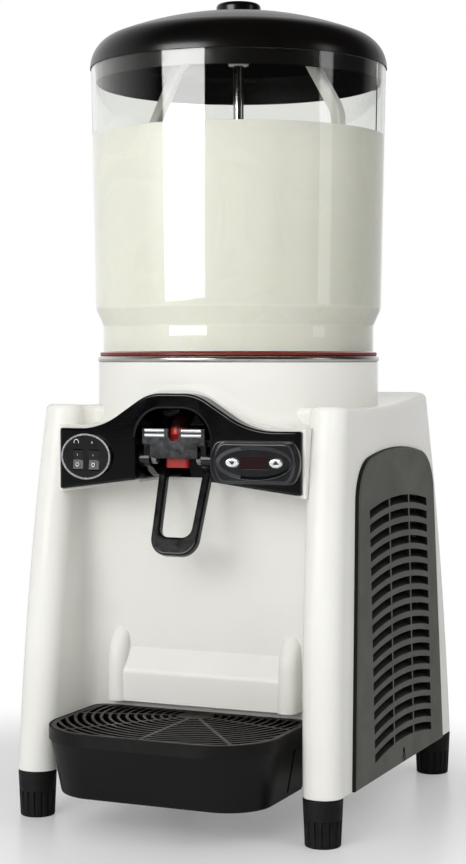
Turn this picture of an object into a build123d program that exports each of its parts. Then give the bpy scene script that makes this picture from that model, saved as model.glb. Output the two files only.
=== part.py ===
from build123d import *
import os
from math import asin, atan2, cos, degrees, radians, sin, sqrt

# A one-bowl cold drink dispenser, in millimetres.
# +Z is up, the front faces -Y, and the origin lies on the table under the middle of the footprint.

os.makedirs("parts", exist_ok=True)

# Clearances
running_gap = 0.05  # radial, shafts and pins in their bores
seat_gap = 0.3  # between pieces that lift, slide or press
cover_gap = 0.5  # around covers and inserts in their openings

# Body
body_width = 313.0  # across the wings at their feet
overall_depth = 406.0  # from the tray's front to the wings' heels
foot_height = 42.0  # table to the body's lower edge
wall = 4.0  # moulded walls
floor_thickness = 8.0
wing_thickness = 35.0
wing_front_height = 332.0  # above the body's lower edge
wing_top_rise = 9.0  # rear end of the wing's top over its front end
wing_toe_y = -142.0  # foremost point of the posts
wing_front_lean = 39.5  # how far each edge leans in up to the top
wing_rear_lean = 56.0
wing_side_lean = 9.0
wing_front_bulge = 7.0  # rise of each edge's long curve over its chord
wing_rear_bulge = 9.0
wing_top_sag = 6.5
wing_heel_round = 20.0
wing_top_round = 5.0
post_flat = 2.0  # left between the two rounds of each post
post_hollow_setback = 11.0  # from the post's front edge to its hollow
panel_foot_y = -57.0  # front panel at the body's lower edge
panel_lean = 0.06  # forward lean of the panel per unit of height
panel_corner_round = 10.0
panel_edge_height = 58.0  # lower edge of the bench and its ribs
bench_depth = 15.0  # forward step at the foot of the panel
bench_front_height = 28.0
bench_height = 52.0
bench_half_width = 78.0
bench_round = 12.0
rib_offset = 85.0
rib_width = 18.0
rib_depth = 20.0
rib_height = 76.0
rib_round = 8.0
rib_taper = 2.0

# Collar and brow
bowl_axis_y = 14.0
collar_rise = 38.0  # collar's top over the wing's front
collar_radius = 131.4
collar_skirt = 66.0  # how far the collar reaches down inside
ledge_width = 8.0  # inner ledge that carries the motor bracket
ledge_drop = 37.0  # collar's top to the ledge's top
brow_rim = 2.5  # white rim around the fascia
brow_round = 1.5
brow_blend = 12.0  # between the brow and the collar
brow_gap = 1.0  # fascia's back in front of the collar

# Fascia
fascia_bow_radius = 700.0
fascia_depth = 15.6  # back to the middle of the bowed front
fascia_half_width = 117.0
arch_rise = 11.0  # arch over the wing's front
arch_drop = 32.0  # arch down to the shoulders
fascia_band = 44.5  # shoulders down to the hood's legs
fascia_leg_rise = 11.0  # hood's legs over the fascia's ends
arch_half_top = 23.0
arch_half_foot = 73.0
arch_round = 42.0
arch_foot_round = 75.0  # where the arch runs out into the shoulders
fascia_end_round = 5.0
fascia_edge_round = 2.0
hood_half_width = 36.0
hood_drop = 13.5  # arch down to the hood's roof
hood_round = 27.0
hood_lip_round = 2.0
hood_wall = 2.5
hood_depth = 39.4  # behind the fascia's back

# Rocker switches
switch_end_gap = 5.0  # plate to the fascia's end
switch_drop = 25.0  # below the fascia's shoulders
switch_plate_width = 53.0
switch_plate_height = 41.0
switch_plate_thickness = 3.0
switch_ring_width = 1.6
switch_ring_rise = 1.0
switch_seat = 1.0  # depth of the plate's pocket
rocker_spacing = 17.0
rocker_width = 10.0
rocker_length = 17.0
rocker_depth = 5.0
rocker_tilt = 8.0
rocker_drop = 3.0  # rockers sit this far below the middle of the plate
switch_body_depth = 14.0
switch_flange = 1.5
rocker_pivot = 0.5  # hinge above the fascia's surface
rocker_dish = 1.2
rocker_axle_radius = 1.0
rocker_axle_reach = 1.0
rocker_end_gap = 0.8
rocker_draft = 1.0
terminal_width = 4.8
terminal_sheet = 0.8
terminal_length = 7.0

# Thermostat
thermostat_hood_gap = 1.5  # bezel to the hood's opening
thermostat_drop = 27.0  # below the fascia's shoulders
bezel_width = 81.0
bezel_height = 37.0
bezel_thickness = 6.0
bezel_bow = 6.0  # bulge of each end
bezel_round = 7.0
bezel_edge_round = 1.2
bezel_step = 3.0  # height of the outer step
bezel_step_width = 2.0
bezel_step_length = 5.0  # width of the step at each end
bezel_seat = 1.2  # depth of the bezel's pocket
case_width = 71.0
case_height = 29.0
case_depth = 32.0
face_width = 62.0
face_height = 23.4
face_thickness = 2.0
face_drop = 1.6  # face below the bezel's rim
face_slope = 3.0  # sloping rim around the face
display_width = 24.0
display_height = 11.0
display_thickness = 1.0
button_offset = 19.5
button_width = 12.5
button_height = 8.0
button_rise = 1.4
button_round = 1.2
button_travel = 0.8
button_collar = 1.0  # flange that holds each button behind the face

# Tap
tap_setback = 14.0  # lever axis behind the fascia's front
tap_drop = 44.5  # lever axis below the hood's roof
lever_boss_radius = 7.5
lever_boss_inner = 25.0  # across the tap, from the middle
lever_pin_radius = 2.5
lever_pin_inner = 19.5
lever_plate_width = 7.0
lever_lean = 21.5  # degrees, the loop's foot leans forward
loop_setback = 14.5  # loop's upper end behind the lever axis
loop_drop = 20.0
loop_reach = 69.5  # down the slope
loop_half_top = 25.5
loop_half_foot = 22.0
loop_bar = 7.0
loop_foot_bar = 16.5
loop_foot_round = 16.0
loop_thickness = 8.0
loop_edge_round = 2.0
yoke_low = 4.0  # cross pieces above the loop, up the slope
yoke_high = 16.0
lever_side_gap = 0.6  # boss to the hood's wall
horn_height = 16.0
horn_back_gap = 0.5
horn_width = 5.0
jaw_side_gap = 6.0  # pinch plate to the hood's wall
jaw_lift = 1.0
jaw_front_gap = 7.0  # lever axis to the back of the pinch plate
jaw_thickness = 3.0
jaw_height = 26.0
jaw_notch = 5.5
jaw_bar_radius = 1.6
nib_height = 14.0  # above the lever axis
nib_size = 3.0
nib_half_width = 14.0
tube_outer_radius = 7.0
tube_bore_radius = 4.6
tube_flat_width = 22.0
tube_flat_thickness = 6.0
tube_mouth_drop = 7.5
spout_drop = 5.5  # spout's end below the hood's roof
spout_seat = 1.0  # tube's bore beyond the spout
tube_bend_round = 9.0
tube_neck = 8.0  # round part of the tube ends this far above the pinch
anvil_height = 6.0
anvil_depth = 5.0
spring_wire = 1.0
spring_turns = 4.0
spring_radius = 4.2

# Drip tray
tray_side_gap = 12.5  # tray to the posts at their feet
tray_rear_gap = 6.5  # tray to the front panel's foot
tray_top_height = 93.5  # above the table
tray_depth = 60.5
tray_rim = 11.0
tray_front_round = 60.0
tray_rear_round = 12.0
tray_front_draft = 20.0
tray_side_draft = 10.0
tray_wall = 2.5
groove_inset = 46.5  # finger groove in each side, from the tray's rear edge
groove_width = 4.0
groove_length = 40.0
groove_depth = 1.2
grid_ledge = 4.0
grid_thickness = 4.5
grid_hub_inset = 20.0  # from the tray's rear edge
grid_hub_radius = 17.0
grid_pitch = 7.7
grid_bar = 2.6
grid_spokes = 5
grid_spoke_angle = 37.5
grid_spoke_width = 3.2
grid_frame = 4.0
tongue_offset = 60.0
tongue_width = 24.0
tongue_thickness = 4.0
tongue_height = 62.0  # above the table
tongue_reach = 34.0  # in front of the panel's foot
sleeve_wall = 2.5

# Bowl stack
bead_diameter = 5.6
bead_overhang = 0.9  # rolled rim over the collar
dish_sheet = 1.2
dish_inset = 6.9  # dish's wall inside the collar
dish_depth = 19.0
spout_radius = 4.5
spout_setback = 20.0  # behind the lever axis
gasket_inset = 1.4  # inside the collar
gasket_height = 3.4
gasket_lip = 2.5
gasket_lip_depth = 5.0
bowl_neck_inset = 3.0  # inside the gasket's edge
bowl_neck_height = 24.5
bowl_step_height = 16.0
bowl_step_out = 7.0  # neck to the step
bowl_flare = 4.0  # step to the rim
bowl_height = 263.0
bowl_wall = 3.5
bowl_step_round = 8.0
lid_overhang = 0.8  # over the bowl's rim
lid_crown = 52.0  # rim to crown
lid_dome_radius = 325.0
lid_shoulder_round = 31.0
lid_wall = 3.0
lid_skirt_depth = 13.8
lid_skirt_gap = 1.0
lid_inner_round = 20.0
knob_radius = 20.75
knob_height = 10.0
knob_round = 4.0
knob_seat_inset = 1.0
knob_screw_radius = 2.5
knob_screw_head = 5.0
knob_screw_depth = 7.0
knob_screw_head_height = 3.0

# Agitator and drive
shaft_radius = 5.0
hub_radius = 9.4
hub_height = 22.0
hub_rise = 5.0  # underside of the hub above the bowl's rim
agitator_azimuth = -22.4
agitator_bar = 11.0
agitator_blade = 9.0
arm_shoulder = 49.7  # bend back to the flat top
arm_wall_gap = 11.3  # bend to the bowl's rim
arm_bend_drop = 72.0
arm_foot_gap = 15.0  # foot to the bowl's neck
arm_foot_rise = 11.0  # lower end above the bowl's lower edge
arm_round = 30.0
seal_radius = 12.0
seal_height = 8.0
seal_flange = 3.0
foam_inner_radius = 16.0
foam_recess = 10.0
bracket_thickness = 2.0
gear_motor_radius = 36.0
gear_motor_height = 56.0
gear_case_height = 22.0
gear_motor_core = 26.0
gear_case_round = 6.0

# Feet
foot_front_inset = 16.0  # from the post's toe
foot_rear_inset = 19.0  # from the wing's heel
foot_top_radius = 17.5
foot_bottom_radius = 15.6
foot_flutes = 16
flute_radius = 1.8
foot_edge_round = 1.5
flute_height = 22.0
stud_radius = 4.0
stud_length = 22.0  # above the foot

# Side grille
grille_front_margin = 41.1  # from the wing's edges at its foot
grille_rear_margin = 50.8
grille_top_drop = 40.4  # below the wing's front
grille_crown = 12.6  # rise of the upper edge over its shoulders
grille_front_lean = 27.0
grille_rear_lean = 15.0
grille_round = 42.0
grille_proud = 4.0  # in front of the wing's surface
grille_edge_round = 2.5
grille_flange = 6.0
grille_flange_thickness = 2.0
louvre_columns = 3
louvre_top_margin = 30.0
louvre_pitch = 12.74
louvre_slot = 7.4
louvre_width = 52.4
louvre_divider = 3.4
louvre_middle_y = 30.8
louvre_base = 14.6  # lowest slot above the body's lower edge
louvre_arch = 8.0  # rise of each row's middle over its ends
louvre_tilt = 35.0
louvre_lead = 1.0  # cut from just in front of the plate
louvre_edge = 9.0  # plain border around the louvres
grille_screw_y = 28.8
grille_screw_height = 5.5
keyhole_width = 5.0
keyhole_rise = 6.5  # slot above the screw's head
screw_radius = 2.0
screw_head_radius = 4.0
screw_head = 2.0
screw_length = 14.0

# Rear panel and base
panel_side_inset = 9.5  # rear panel to the wings' inner faces
panel_sheet = 2.0
panel_setback = 1.0  # rear panel below the body's surface
panel_lip = 8.0  # ledge that the rear panel lies on
panel_margin_low = 22.0
panel_margin_high = 28.0
vent_rows = 12
vent_pitch = 16.0
vent_slot = 6.0
vent_margin = 32.0
base_sheet = 1.5
base_margin = 5.0  # beyond the compressor's foot
base_front_inset = 7.0  # behind the front panel's foot
base_rear_inset = 27.0  # in front of the wings' heels
base_opening_inset = 12.0

# Refrigeration
compressor_radius = 56.0
compressor_height = 128.0
compressor_x = -52.0
compressor_y = 96.0
compressor_foot = 118.0
compressor_foot_sheet = 3.0
compressor_top_round = 26.0
compressor_low_round = 14.0
mount_radius = 9.0
mount_height = 8.0
mount_spacing = 92.0
condenser_clearance = 20.5  # serpentine to the wing's outside
condenser_thickness = 36.0
condenser_depth = 130.0
condenser_height = 150.0
condenser_y = 82.0
condenser_lift = 14.0
fin_pitch = 6.0
fin_gap = 3.6
pipe_radius = 4.0
pipe_rows = 6
fan_radius = 58.0
fan_hub_radius = 15.0
fan_blades = 5
fan_blade_width = 30.0
fan_blade_thickness = 2.0
fan_blade_angle = 28.0
fan_clearance = 4.0
fan_motor_radius = 28.0
fan_motor_length = 34.0
fan_shaft_radius = 3.0
fan_depth = 16.0
fan_gap = 3.0  # fan to its shroud and to its motor
fan_root = 1.0
fan_post_width = 20.0
shroud_thickness = 6.0
drier_radius = 9.0
drier_length = 90.0
drier_offset = 30.0  # beside the condenser
drier_y = -8.0
drier_z = 104.0
capillary_radius = 2.0
pipe_bend = 10.0
coil_tube_radius = 4.0
coil_inner_radius = 40.0
coil_turns = 4
gland_radius = 9.0
gland_flange = 3.5
gland_depth = 16.0
gland_bore = 4.0
gland_x = -70.0
gland_height = 52.0
terminal_box_width = 44.0
terminal_box_depth = 22.0
terminal_box_height = 46.0

# Levels and places worked out from the sizes above
base_z = foot_height
wing_heel_y = overall_depth / 2
tray_front_y = -overall_depth / 2
half_width = body_width / 2
wing_rear_height = wing_front_height + wing_top_rise
collar_height = wing_front_height + collar_rise
fascia_arch_height = wing_front_height + arch_rise
fascia_shoulder_height = fascia_arch_height - arch_drop
fascia_leg_height = fascia_shoulder_height - fascia_band
fascia_end_height = fascia_leg_height - fascia_leg_rise
hood_top_height = fascia_arch_height - hood_drop
tap_height = hood_top_height - tap_drop
loop_top_height = tap_height - loop_drop
spout_end_height = hood_top_height - spout_drop
switch_height = fascia_shoulder_height - switch_drop
thermostat_height = fascia_shoulder_height - thermostat_drop
grille_height = wing_front_height - grille_top_drop
grille_shoulder = grille_height - grille_crown
louvre_rows = int((grille_shoulder - louvre_base - louvre_top_margin) / louvre_pitch)
fascia_back_y = bowl_axis_y - collar_radius - brow_gap
fascia_front_y = fascia_back_y - fascia_depth
hood_back_y = fascia_back_y + hood_depth
tap_y = fascia_front_y + tap_setback
loop_top_y = tap_y + loop_setback
spout_y = tap_y + spout_setback
switch_x = switch_end_gap + switch_plate_width / 2 - fascia_half_width
thermostat_x = hood_half_width + thermostat_hood_gap + bezel_width / 2
jaw_half_width = hood_half_width - jaw_side_gap
tray_half_width = half_width - wing_thickness - tray_side_gap
tray_rear_y = panel_foot_y - tray_rear_gap
grid_hub_y = tray_rear_y - grid_hub_inset
bead_radius = collar_radius + bead_overhang
dish_wall_radius = collar_radius - dish_inset
gasket_radius = collar_radius - gasket_inset
bowl_neck_radius = gasket_radius - bowl_neck_inset
bowl_step_radius = bowl_neck_radius + bowl_step_out
bowl_rim_radius = bowl_step_radius + bowl_flare
lid_radius = bowl_rim_radius + lid_overhang
arm_bend_reach = bowl_rim_radius - arm_wall_gap
arm_top_reach = arm_bend_reach - arm_shoulder
arm_foot_reach = bowl_neck_radius - arm_foot_gap
foot_offset_x = half_width - wing_thickness / 2
panel_half_width = half_width - wing_thickness - panel_side_inset
vent_half_width = panel_half_width - vent_margin
condenser_x = half_width - condenser_clearance - 2 * pipe_radius - condenser_thickness
drier_x = condenser_x - drier_offset
base_left_x = compressor_x - compressor_foot / 2 - base_margin
base_right_x = condenser_x + 2 * condenser_thickness / 3
base_front_y = panel_foot_y + base_front_inset
base_rear_y = wing_heel_y - base_rear_inset
base_middle = ((base_left_x + base_right_x) / 2, (base_front_y + base_rear_y) / 2)
side_lean_angle = degrees(atan2(wing_side_lean, wing_rear_height))
collar_top_z = base_z + collar_height
collar_bore = collar_radius - wall
dish_rim_z = collar_top_z + bead_diameter + running_gap
dish_floor_z = dish_rim_z - dish_depth
gasket_top_z = dish_rim_z + gasket_height
bowl_foot_z = gasket_top_z + seat_gap
bowl_rim_z = bowl_foot_z + bowl_height
lid_rim_z = bowl_rim_z + seat_gap
ledge_top_z = collar_top_z - ledge_drop
bracket_top_z = ledge_top_z + bracket_thickness
tap_z = base_z + tap_height
hood_top_z = base_z + hood_top_height
hood_low_z = base_z + fascia_end_height - 2 * wall
leg_z = base_z + fascia_leg_height
fascia_bow_y = fascia_front_y + fascia_bow_radius
base_top_z = base_z + floor_thickness + base_sheet
bowl_axis = Plane((0, bowl_axis_y, 0))
bowl_section = Plane((0, bowl_axis_y, 0), x_dir=(1, 0, 0), z_dir=(0, -1, 0))
axis_line = Axis((0, bowl_axis_y, 0), (0, 0, 1))
right_side = Plane(
    (half_width, 0, base_z),
    x_dir=(0, 1, 0),
    z_dir=(cos(radians(side_lean_angle)), 0, sin(radians(side_lean_angle))),
)
left_side = Plane(
    (-half_width, 0, base_z),
    x_dir=(0, -1, 0),
    z_dir=(-cos(radians(side_lean_angle)), 0, sin(radians(side_lean_angle))),
)
front_foot_y = wing_toe_y + foot_front_inset
rear_foot_y = wing_heel_y - foot_rear_inset
foot_places = [(x, y) for y in (front_foot_y, rear_foot_y) for x in (-foot_offset_x, foot_offset_x)]
base_screw_places = [
    (x, y)
    for y in (base_front_y + base_opening_inset / 2, base_rear_y - base_opening_inset / 2)
    for x in (base_left_x + base_opening_inset / 2, base_right_x - base_opening_inset / 2)
]
switch_case_width = rocker_spacing + rocker_width + 2 * switch_flange
switch_case_length = rocker_length + 4 * switch_flange
panel_low_z = base_z + panel_margin_low
panel_high_z = base_z + wing_rear_height - panel_margin_high
rear_chord = sqrt(wing_rear_lean**2 + wing_rear_height**2)
rear_radius = rear_chord**2 / (8 * wing_rear_bulge) + wing_rear_bulge / 2
rear_reach = rear_radius - wing_rear_bulge
rear_centre_y = wing_heel_y - wing_rear_lean / 2 - rear_reach * wing_rear_height / rear_chord
rear_centre_z = base_z + wing_rear_height / 2 - rear_reach * wing_rear_lean / rear_chord


def panel_y(height):
    return panel_foot_y - panel_lean * height


def side_outline(front_in=0.0, rear_in=0.0, top_in=0.0, floor=0.0):
    toe = (wing_toe_y + front_in, base_z + floor)
    heel = (wing_heel_y - rear_in, base_z + floor)
    top_rear = (wing_heel_y - wing_rear_lean - rear_in, base_z + wing_rear_height - top_in)
    top_front = (wing_toe_y + wing_front_lean + front_in, base_z + wing_front_height - top_in)
    with BuildLine() as outline:
        Line(toe, heel)
        SagittaArc(heel, top_rear, -wing_rear_bulge)
        SagittaArc(top_rear, top_front, wing_top_sag)
        SagittaArc(top_front, toe, -wing_front_bulge)
    make_face(outline.edges())


def width_outline(inset):
    low = half_width - inset
    high = half_width - inset - wing_side_lean
    with BuildLine() as outline:
        Polyline(
            (-low, base_z),
            (low, base_z),
            (high, base_z + wing_rear_height),
            (-high, base_z + wing_rear_height),
            close=True,
        )
    make_face(outline.edges())


def fascia_outline(rim=0.0):
    shoulder = base_z + fascia_shoulder_height + rim
    arch = base_z + fascia_arch_height + rim
    end = fascia_half_width + rim
    right = [
        (arch_half_top, arch),
        (arch_half_foot, shoulder),
        (end, shoulder),
        (end, base_z + fascia_end_height - rim),
        (hood_half_width, base_z + fascia_leg_height - rim),
    ]
    left = [(-x, z) for x, z in reversed(right)]
    with BuildLine() as outline:
        Polyline(right + left, close=True)
    make_face(outline.edges())
    knees = [v for v in vertices() if v.Y > (shoulder + arch) / 2]
    fillet(knees, arch_round)
    run_outs = [v for v in vertices() if abs(abs(v.X) - arch_half_foot) < 1 and v.Y < (shoulder + arch) / 2]
    fillet(run_outs, arch_foot_round)


def hood_outline(margin=0.0, low=hood_low_z):
    half = hood_half_width + margin
    top = hood_top_z + margin
    with BuildLine() as outline:
        Polyline((-half, low), (half, low), (half, top), (-half, top), close=True)
    make_face(outline.edges())
    fillet([v for v in vertices() if v.Y > top - 1], hood_round + margin)


def rear_band(outer, inner):
    low_y = wing_heel_y
    high_y = wing_heel_y - wing_rear_lean
    high_z = base_z + wing_rear_height
    with BuildLine() as outline:
        SagittaArc((low_y - outer, base_z), (high_y - outer, high_z), -wing_rear_bulge)
        Line((high_y - outer, high_z), (high_y - inner, high_z))
        SagittaArc((high_y - inner, high_z), (low_y - inner, base_z), wing_rear_bulge)
        Line((low_y - inner, base_z), (low_y - outer, base_z))
    make_face(outline.edges())


def upright_box(half, low, high):
    with Locations((0, (low + high) / 2)):
        Rectangle(2 * half, high - low)


def upright_edges(builder):
    tall = builder.edges().filter_by(lambda e: e.bounding_box().size.Z > 0.9 * wing_front_height)
    return tall.filter_by(lambda e: abs(e.center().X) > wing_thickness)


def grille_outline(margin=0.0):
    front = wing_toe_y + grille_front_margin - margin
    rear = wing_heel_y - grille_rear_margin + margin
    shoulder = grille_shoulder + margin
    with BuildLine() as outline:
        Polyline(
            (front + grille_front_lean, shoulder),
            (front, 0),
            (rear, 0),
            (rear - grille_rear_lean, shoulder),
        )
        SagittaArc(
            (rear - grille_rear_lean, shoulder),
            (front + grille_front_lean, shoulder),
            grille_shoulder - grille_height,
        )
    make_face(outline.edges())
    fillet([v for v in vertices() if v.Y > shoulder - 1], grille_round + margin)


def fascia_plane(x, height):
    turn = asin(x / fascia_bow_radius)
    origin = (x, fascia_bow_y - fascia_bow_radius * cos(turn), base_z + height)
    return Plane(origin, x_dir=(cos(turn), sin(turn), 0), z_dir=(sin(turn), -cos(turn), 0))


def bezel_outline(end_inset=0.0, side_inset=0.0):
    reach = bezel_width / 2 - bezel_bow - end_inset
    rise = bezel_height / 2 - side_inset
    with BuildLine() as outline:
        Line((-reach, rise), (reach, rise))
        ThreePointArc((reach, rise), (reach + bezel_bow, 0), (reach, -rise))
        Line((reach, -rise), (-reach, -rise))
        ThreePointArc((-reach, -rise), (-reach - bezel_bow, 0), (-reach, rise))
    make_face(outline.edges())
    fillet(vertices(), bezel_round)


def rear_plane(x, z, depth):
    rise = asin((z - rear_centre_z) / rear_radius)
    origin = (x, rear_centre_y + rear_radius * cos(rise) - depth, z)
    return Plane(origin, x_dir=(-1, 0, 0), z_dir=(0, cos(rise), sin(rise)))


switch_plane = fascia_plane(switch_x, switch_height)
thermostat_plane = fascia_plane(thermostat_x, thermostat_height)
rear_screw_planes = [
    rear_plane(x, z, panel_setback)
    for x in (panel_lip / 2 - panel_half_width, panel_half_width - panel_lip / 2)
    for z in (panel_low_z + panel_lip, (panel_low_z + panel_high_z) / 2, panel_high_z - panel_lip)
]
grille_screw_planes = [
    Plane(
        side.from_local_coords((along, grille_screw_height, grille_proud - screw_head)),
        x_dir=side.x_dir,
        z_dir=side.z_dir,
    )
    for side, along in ((right_side, grille_screw_y), (left_side, -grille_screw_y))
]
base_screw_planes = [Plane((x, y, base_z), x_dir=(1, 0, 0), z_dir=(0, 0, -1)) for x, y in base_screw_places]
screw_planes = rear_screw_planes + grille_screw_planes + base_screw_planes

# Hollow between the posts
with BuildPart() as front_recess:
    with BuildSketch(Plane.YZ):
        with BuildLine():
            Polyline(
                (panel_y(-wall), base_z - wall),
                (panel_y(2 * wing_rear_height), base_z + 2 * wing_rear_height),
                (-overall_depth, base_z + 2 * wing_rear_height),
                (-overall_depth, base_z - wall),
                close=True,
            )
        make_face()
    extrude(amount=body_width, both=True)
    with BuildSketch(Plane.XZ):
        width_outline(wing_thickness)
    extrude(amount=2 * overall_depth, both=True, mode=Mode.INTERSECT)

# Hollow of the machine room, from wing to wing
with BuildPart() as machine_room:
    with BuildSketch(Plane.YZ):
        side_outline(wall, wing_heel_round - wall, wing_top_round + wall, floor_thickness)
    extrude(amount=body_width, both=True)
    with BuildSketch(Plane.XZ):
        width_outline(wall)
    extrude(amount=overall_depth, both=True, mode=Mode.INTERSECT)
    with BuildSketch(Plane.YZ):
        with BuildLine():
            Polyline(
                (panel_y(-wall) + wall, base_z - wall),
                (panel_y(2 * wing_rear_height) + wall, base_z + 2 * wing_rear_height),
                (overall_depth, base_z + 2 * wing_rear_height),
                (overall_depth, base_z - wall),
                close=True,
            )
        make_face()
    extrude(amount=body_width, both=True, mode=Mode.INTERSECT)

# Hollows of the two posts, which open into the machine room
with BuildPart() as post_hollows:
    with BuildSketch(Plane.YZ):
        side_outline(post_hollow_setback, wing_heel_round - wall, wing_top_round + wall, floor_thickness)
    extrude(amount=body_width, both=True)
    with BuildSketch(Plane.XZ):
        width_outline(wall)
    extrude(amount=overall_depth, both=True, mode=Mode.INTERSECT)
    with BuildSketch(Plane.XZ):
        width_outline(wing_thickness - wall)
    extrude(amount=overall_depth, both=True, mode=Mode.SUBTRACT)

# Opening in the back, with a rebate that the rear panel lies in
with BuildPart() as rear_rebate:
    with BuildSketch(Plane.YZ):
        rear_band(-wall, panel_setback + panel_sheet)
    extrude(amount=panel_half_width, both=True)
    with BuildSketch(Plane.XZ):
        upright_box(panel_half_width, panel_low_z, panel_high_z)
    extrude(amount=overall_depth, both=True, mode=Mode.INTERSECT)
with BuildPart() as rear_window:
    with BuildSketch(Plane.YZ):
        rear_band(-wall, wing_heel_round + wall)
    extrude(amount=panel_half_width, both=True)
    with BuildSketch(Plane.XZ):
        upright_box(panel_half_width - panel_lip, panel_low_z + panel_lip, panel_high_z - panel_lip)
    extrude(amount=overall_depth, both=True, mode=Mode.INTERSECT)

# Opening in the right wing for its grille
with BuildPart() as grille_window:
    with BuildSketch(right_side):
        grille_outline(cover_gap)
    extrude(amount=-2 * wall - grille_flange_thickness)

# One rib of the front panel, drawn in the middle plane
rib_low_z = base_z + panel_edge_height
rib_back_y = panel_y(panel_edge_height) + 3 * wall
rib_front_y = panel_y(panel_edge_height) - rib_depth
bench_front_y = panel_y(panel_edge_height) - bench_depth
with BuildPart() as rib:
    with BuildSketch(Plane.YZ):
        with BuildLine():
            Polyline(
                (rib_back_y, rib_low_z),
                (rib_front_y, rib_low_z),
                (rib_front_y + rib_taper, rib_low_z + rib_height / 2),
            )
            nose = TangentArc(
                (rib_front_y + rib_taper, rib_low_z + rib_height / 2),
                (rib_back_y, rib_low_z + rib_height),
                tangent=(rib_taper, rib_height / 2),
            )
            Line(nose @ 1, (rib_back_y, rib_low_z))
        make_face()
    extrude(amount=rib_width / 2, both=True)
    rib_edges = rib.edges().filter_by(lambda e: abs(abs(e.center().X) - rib_width / 2) < 0.1)
    rib_edges = rib_edges.filter_by(lambda e: e.center().Y < rib_back_y - 1)
    fillet(rib_edges.filter_by(lambda e: e.center().Z > rib_low_z + 1), rib_round)

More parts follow.
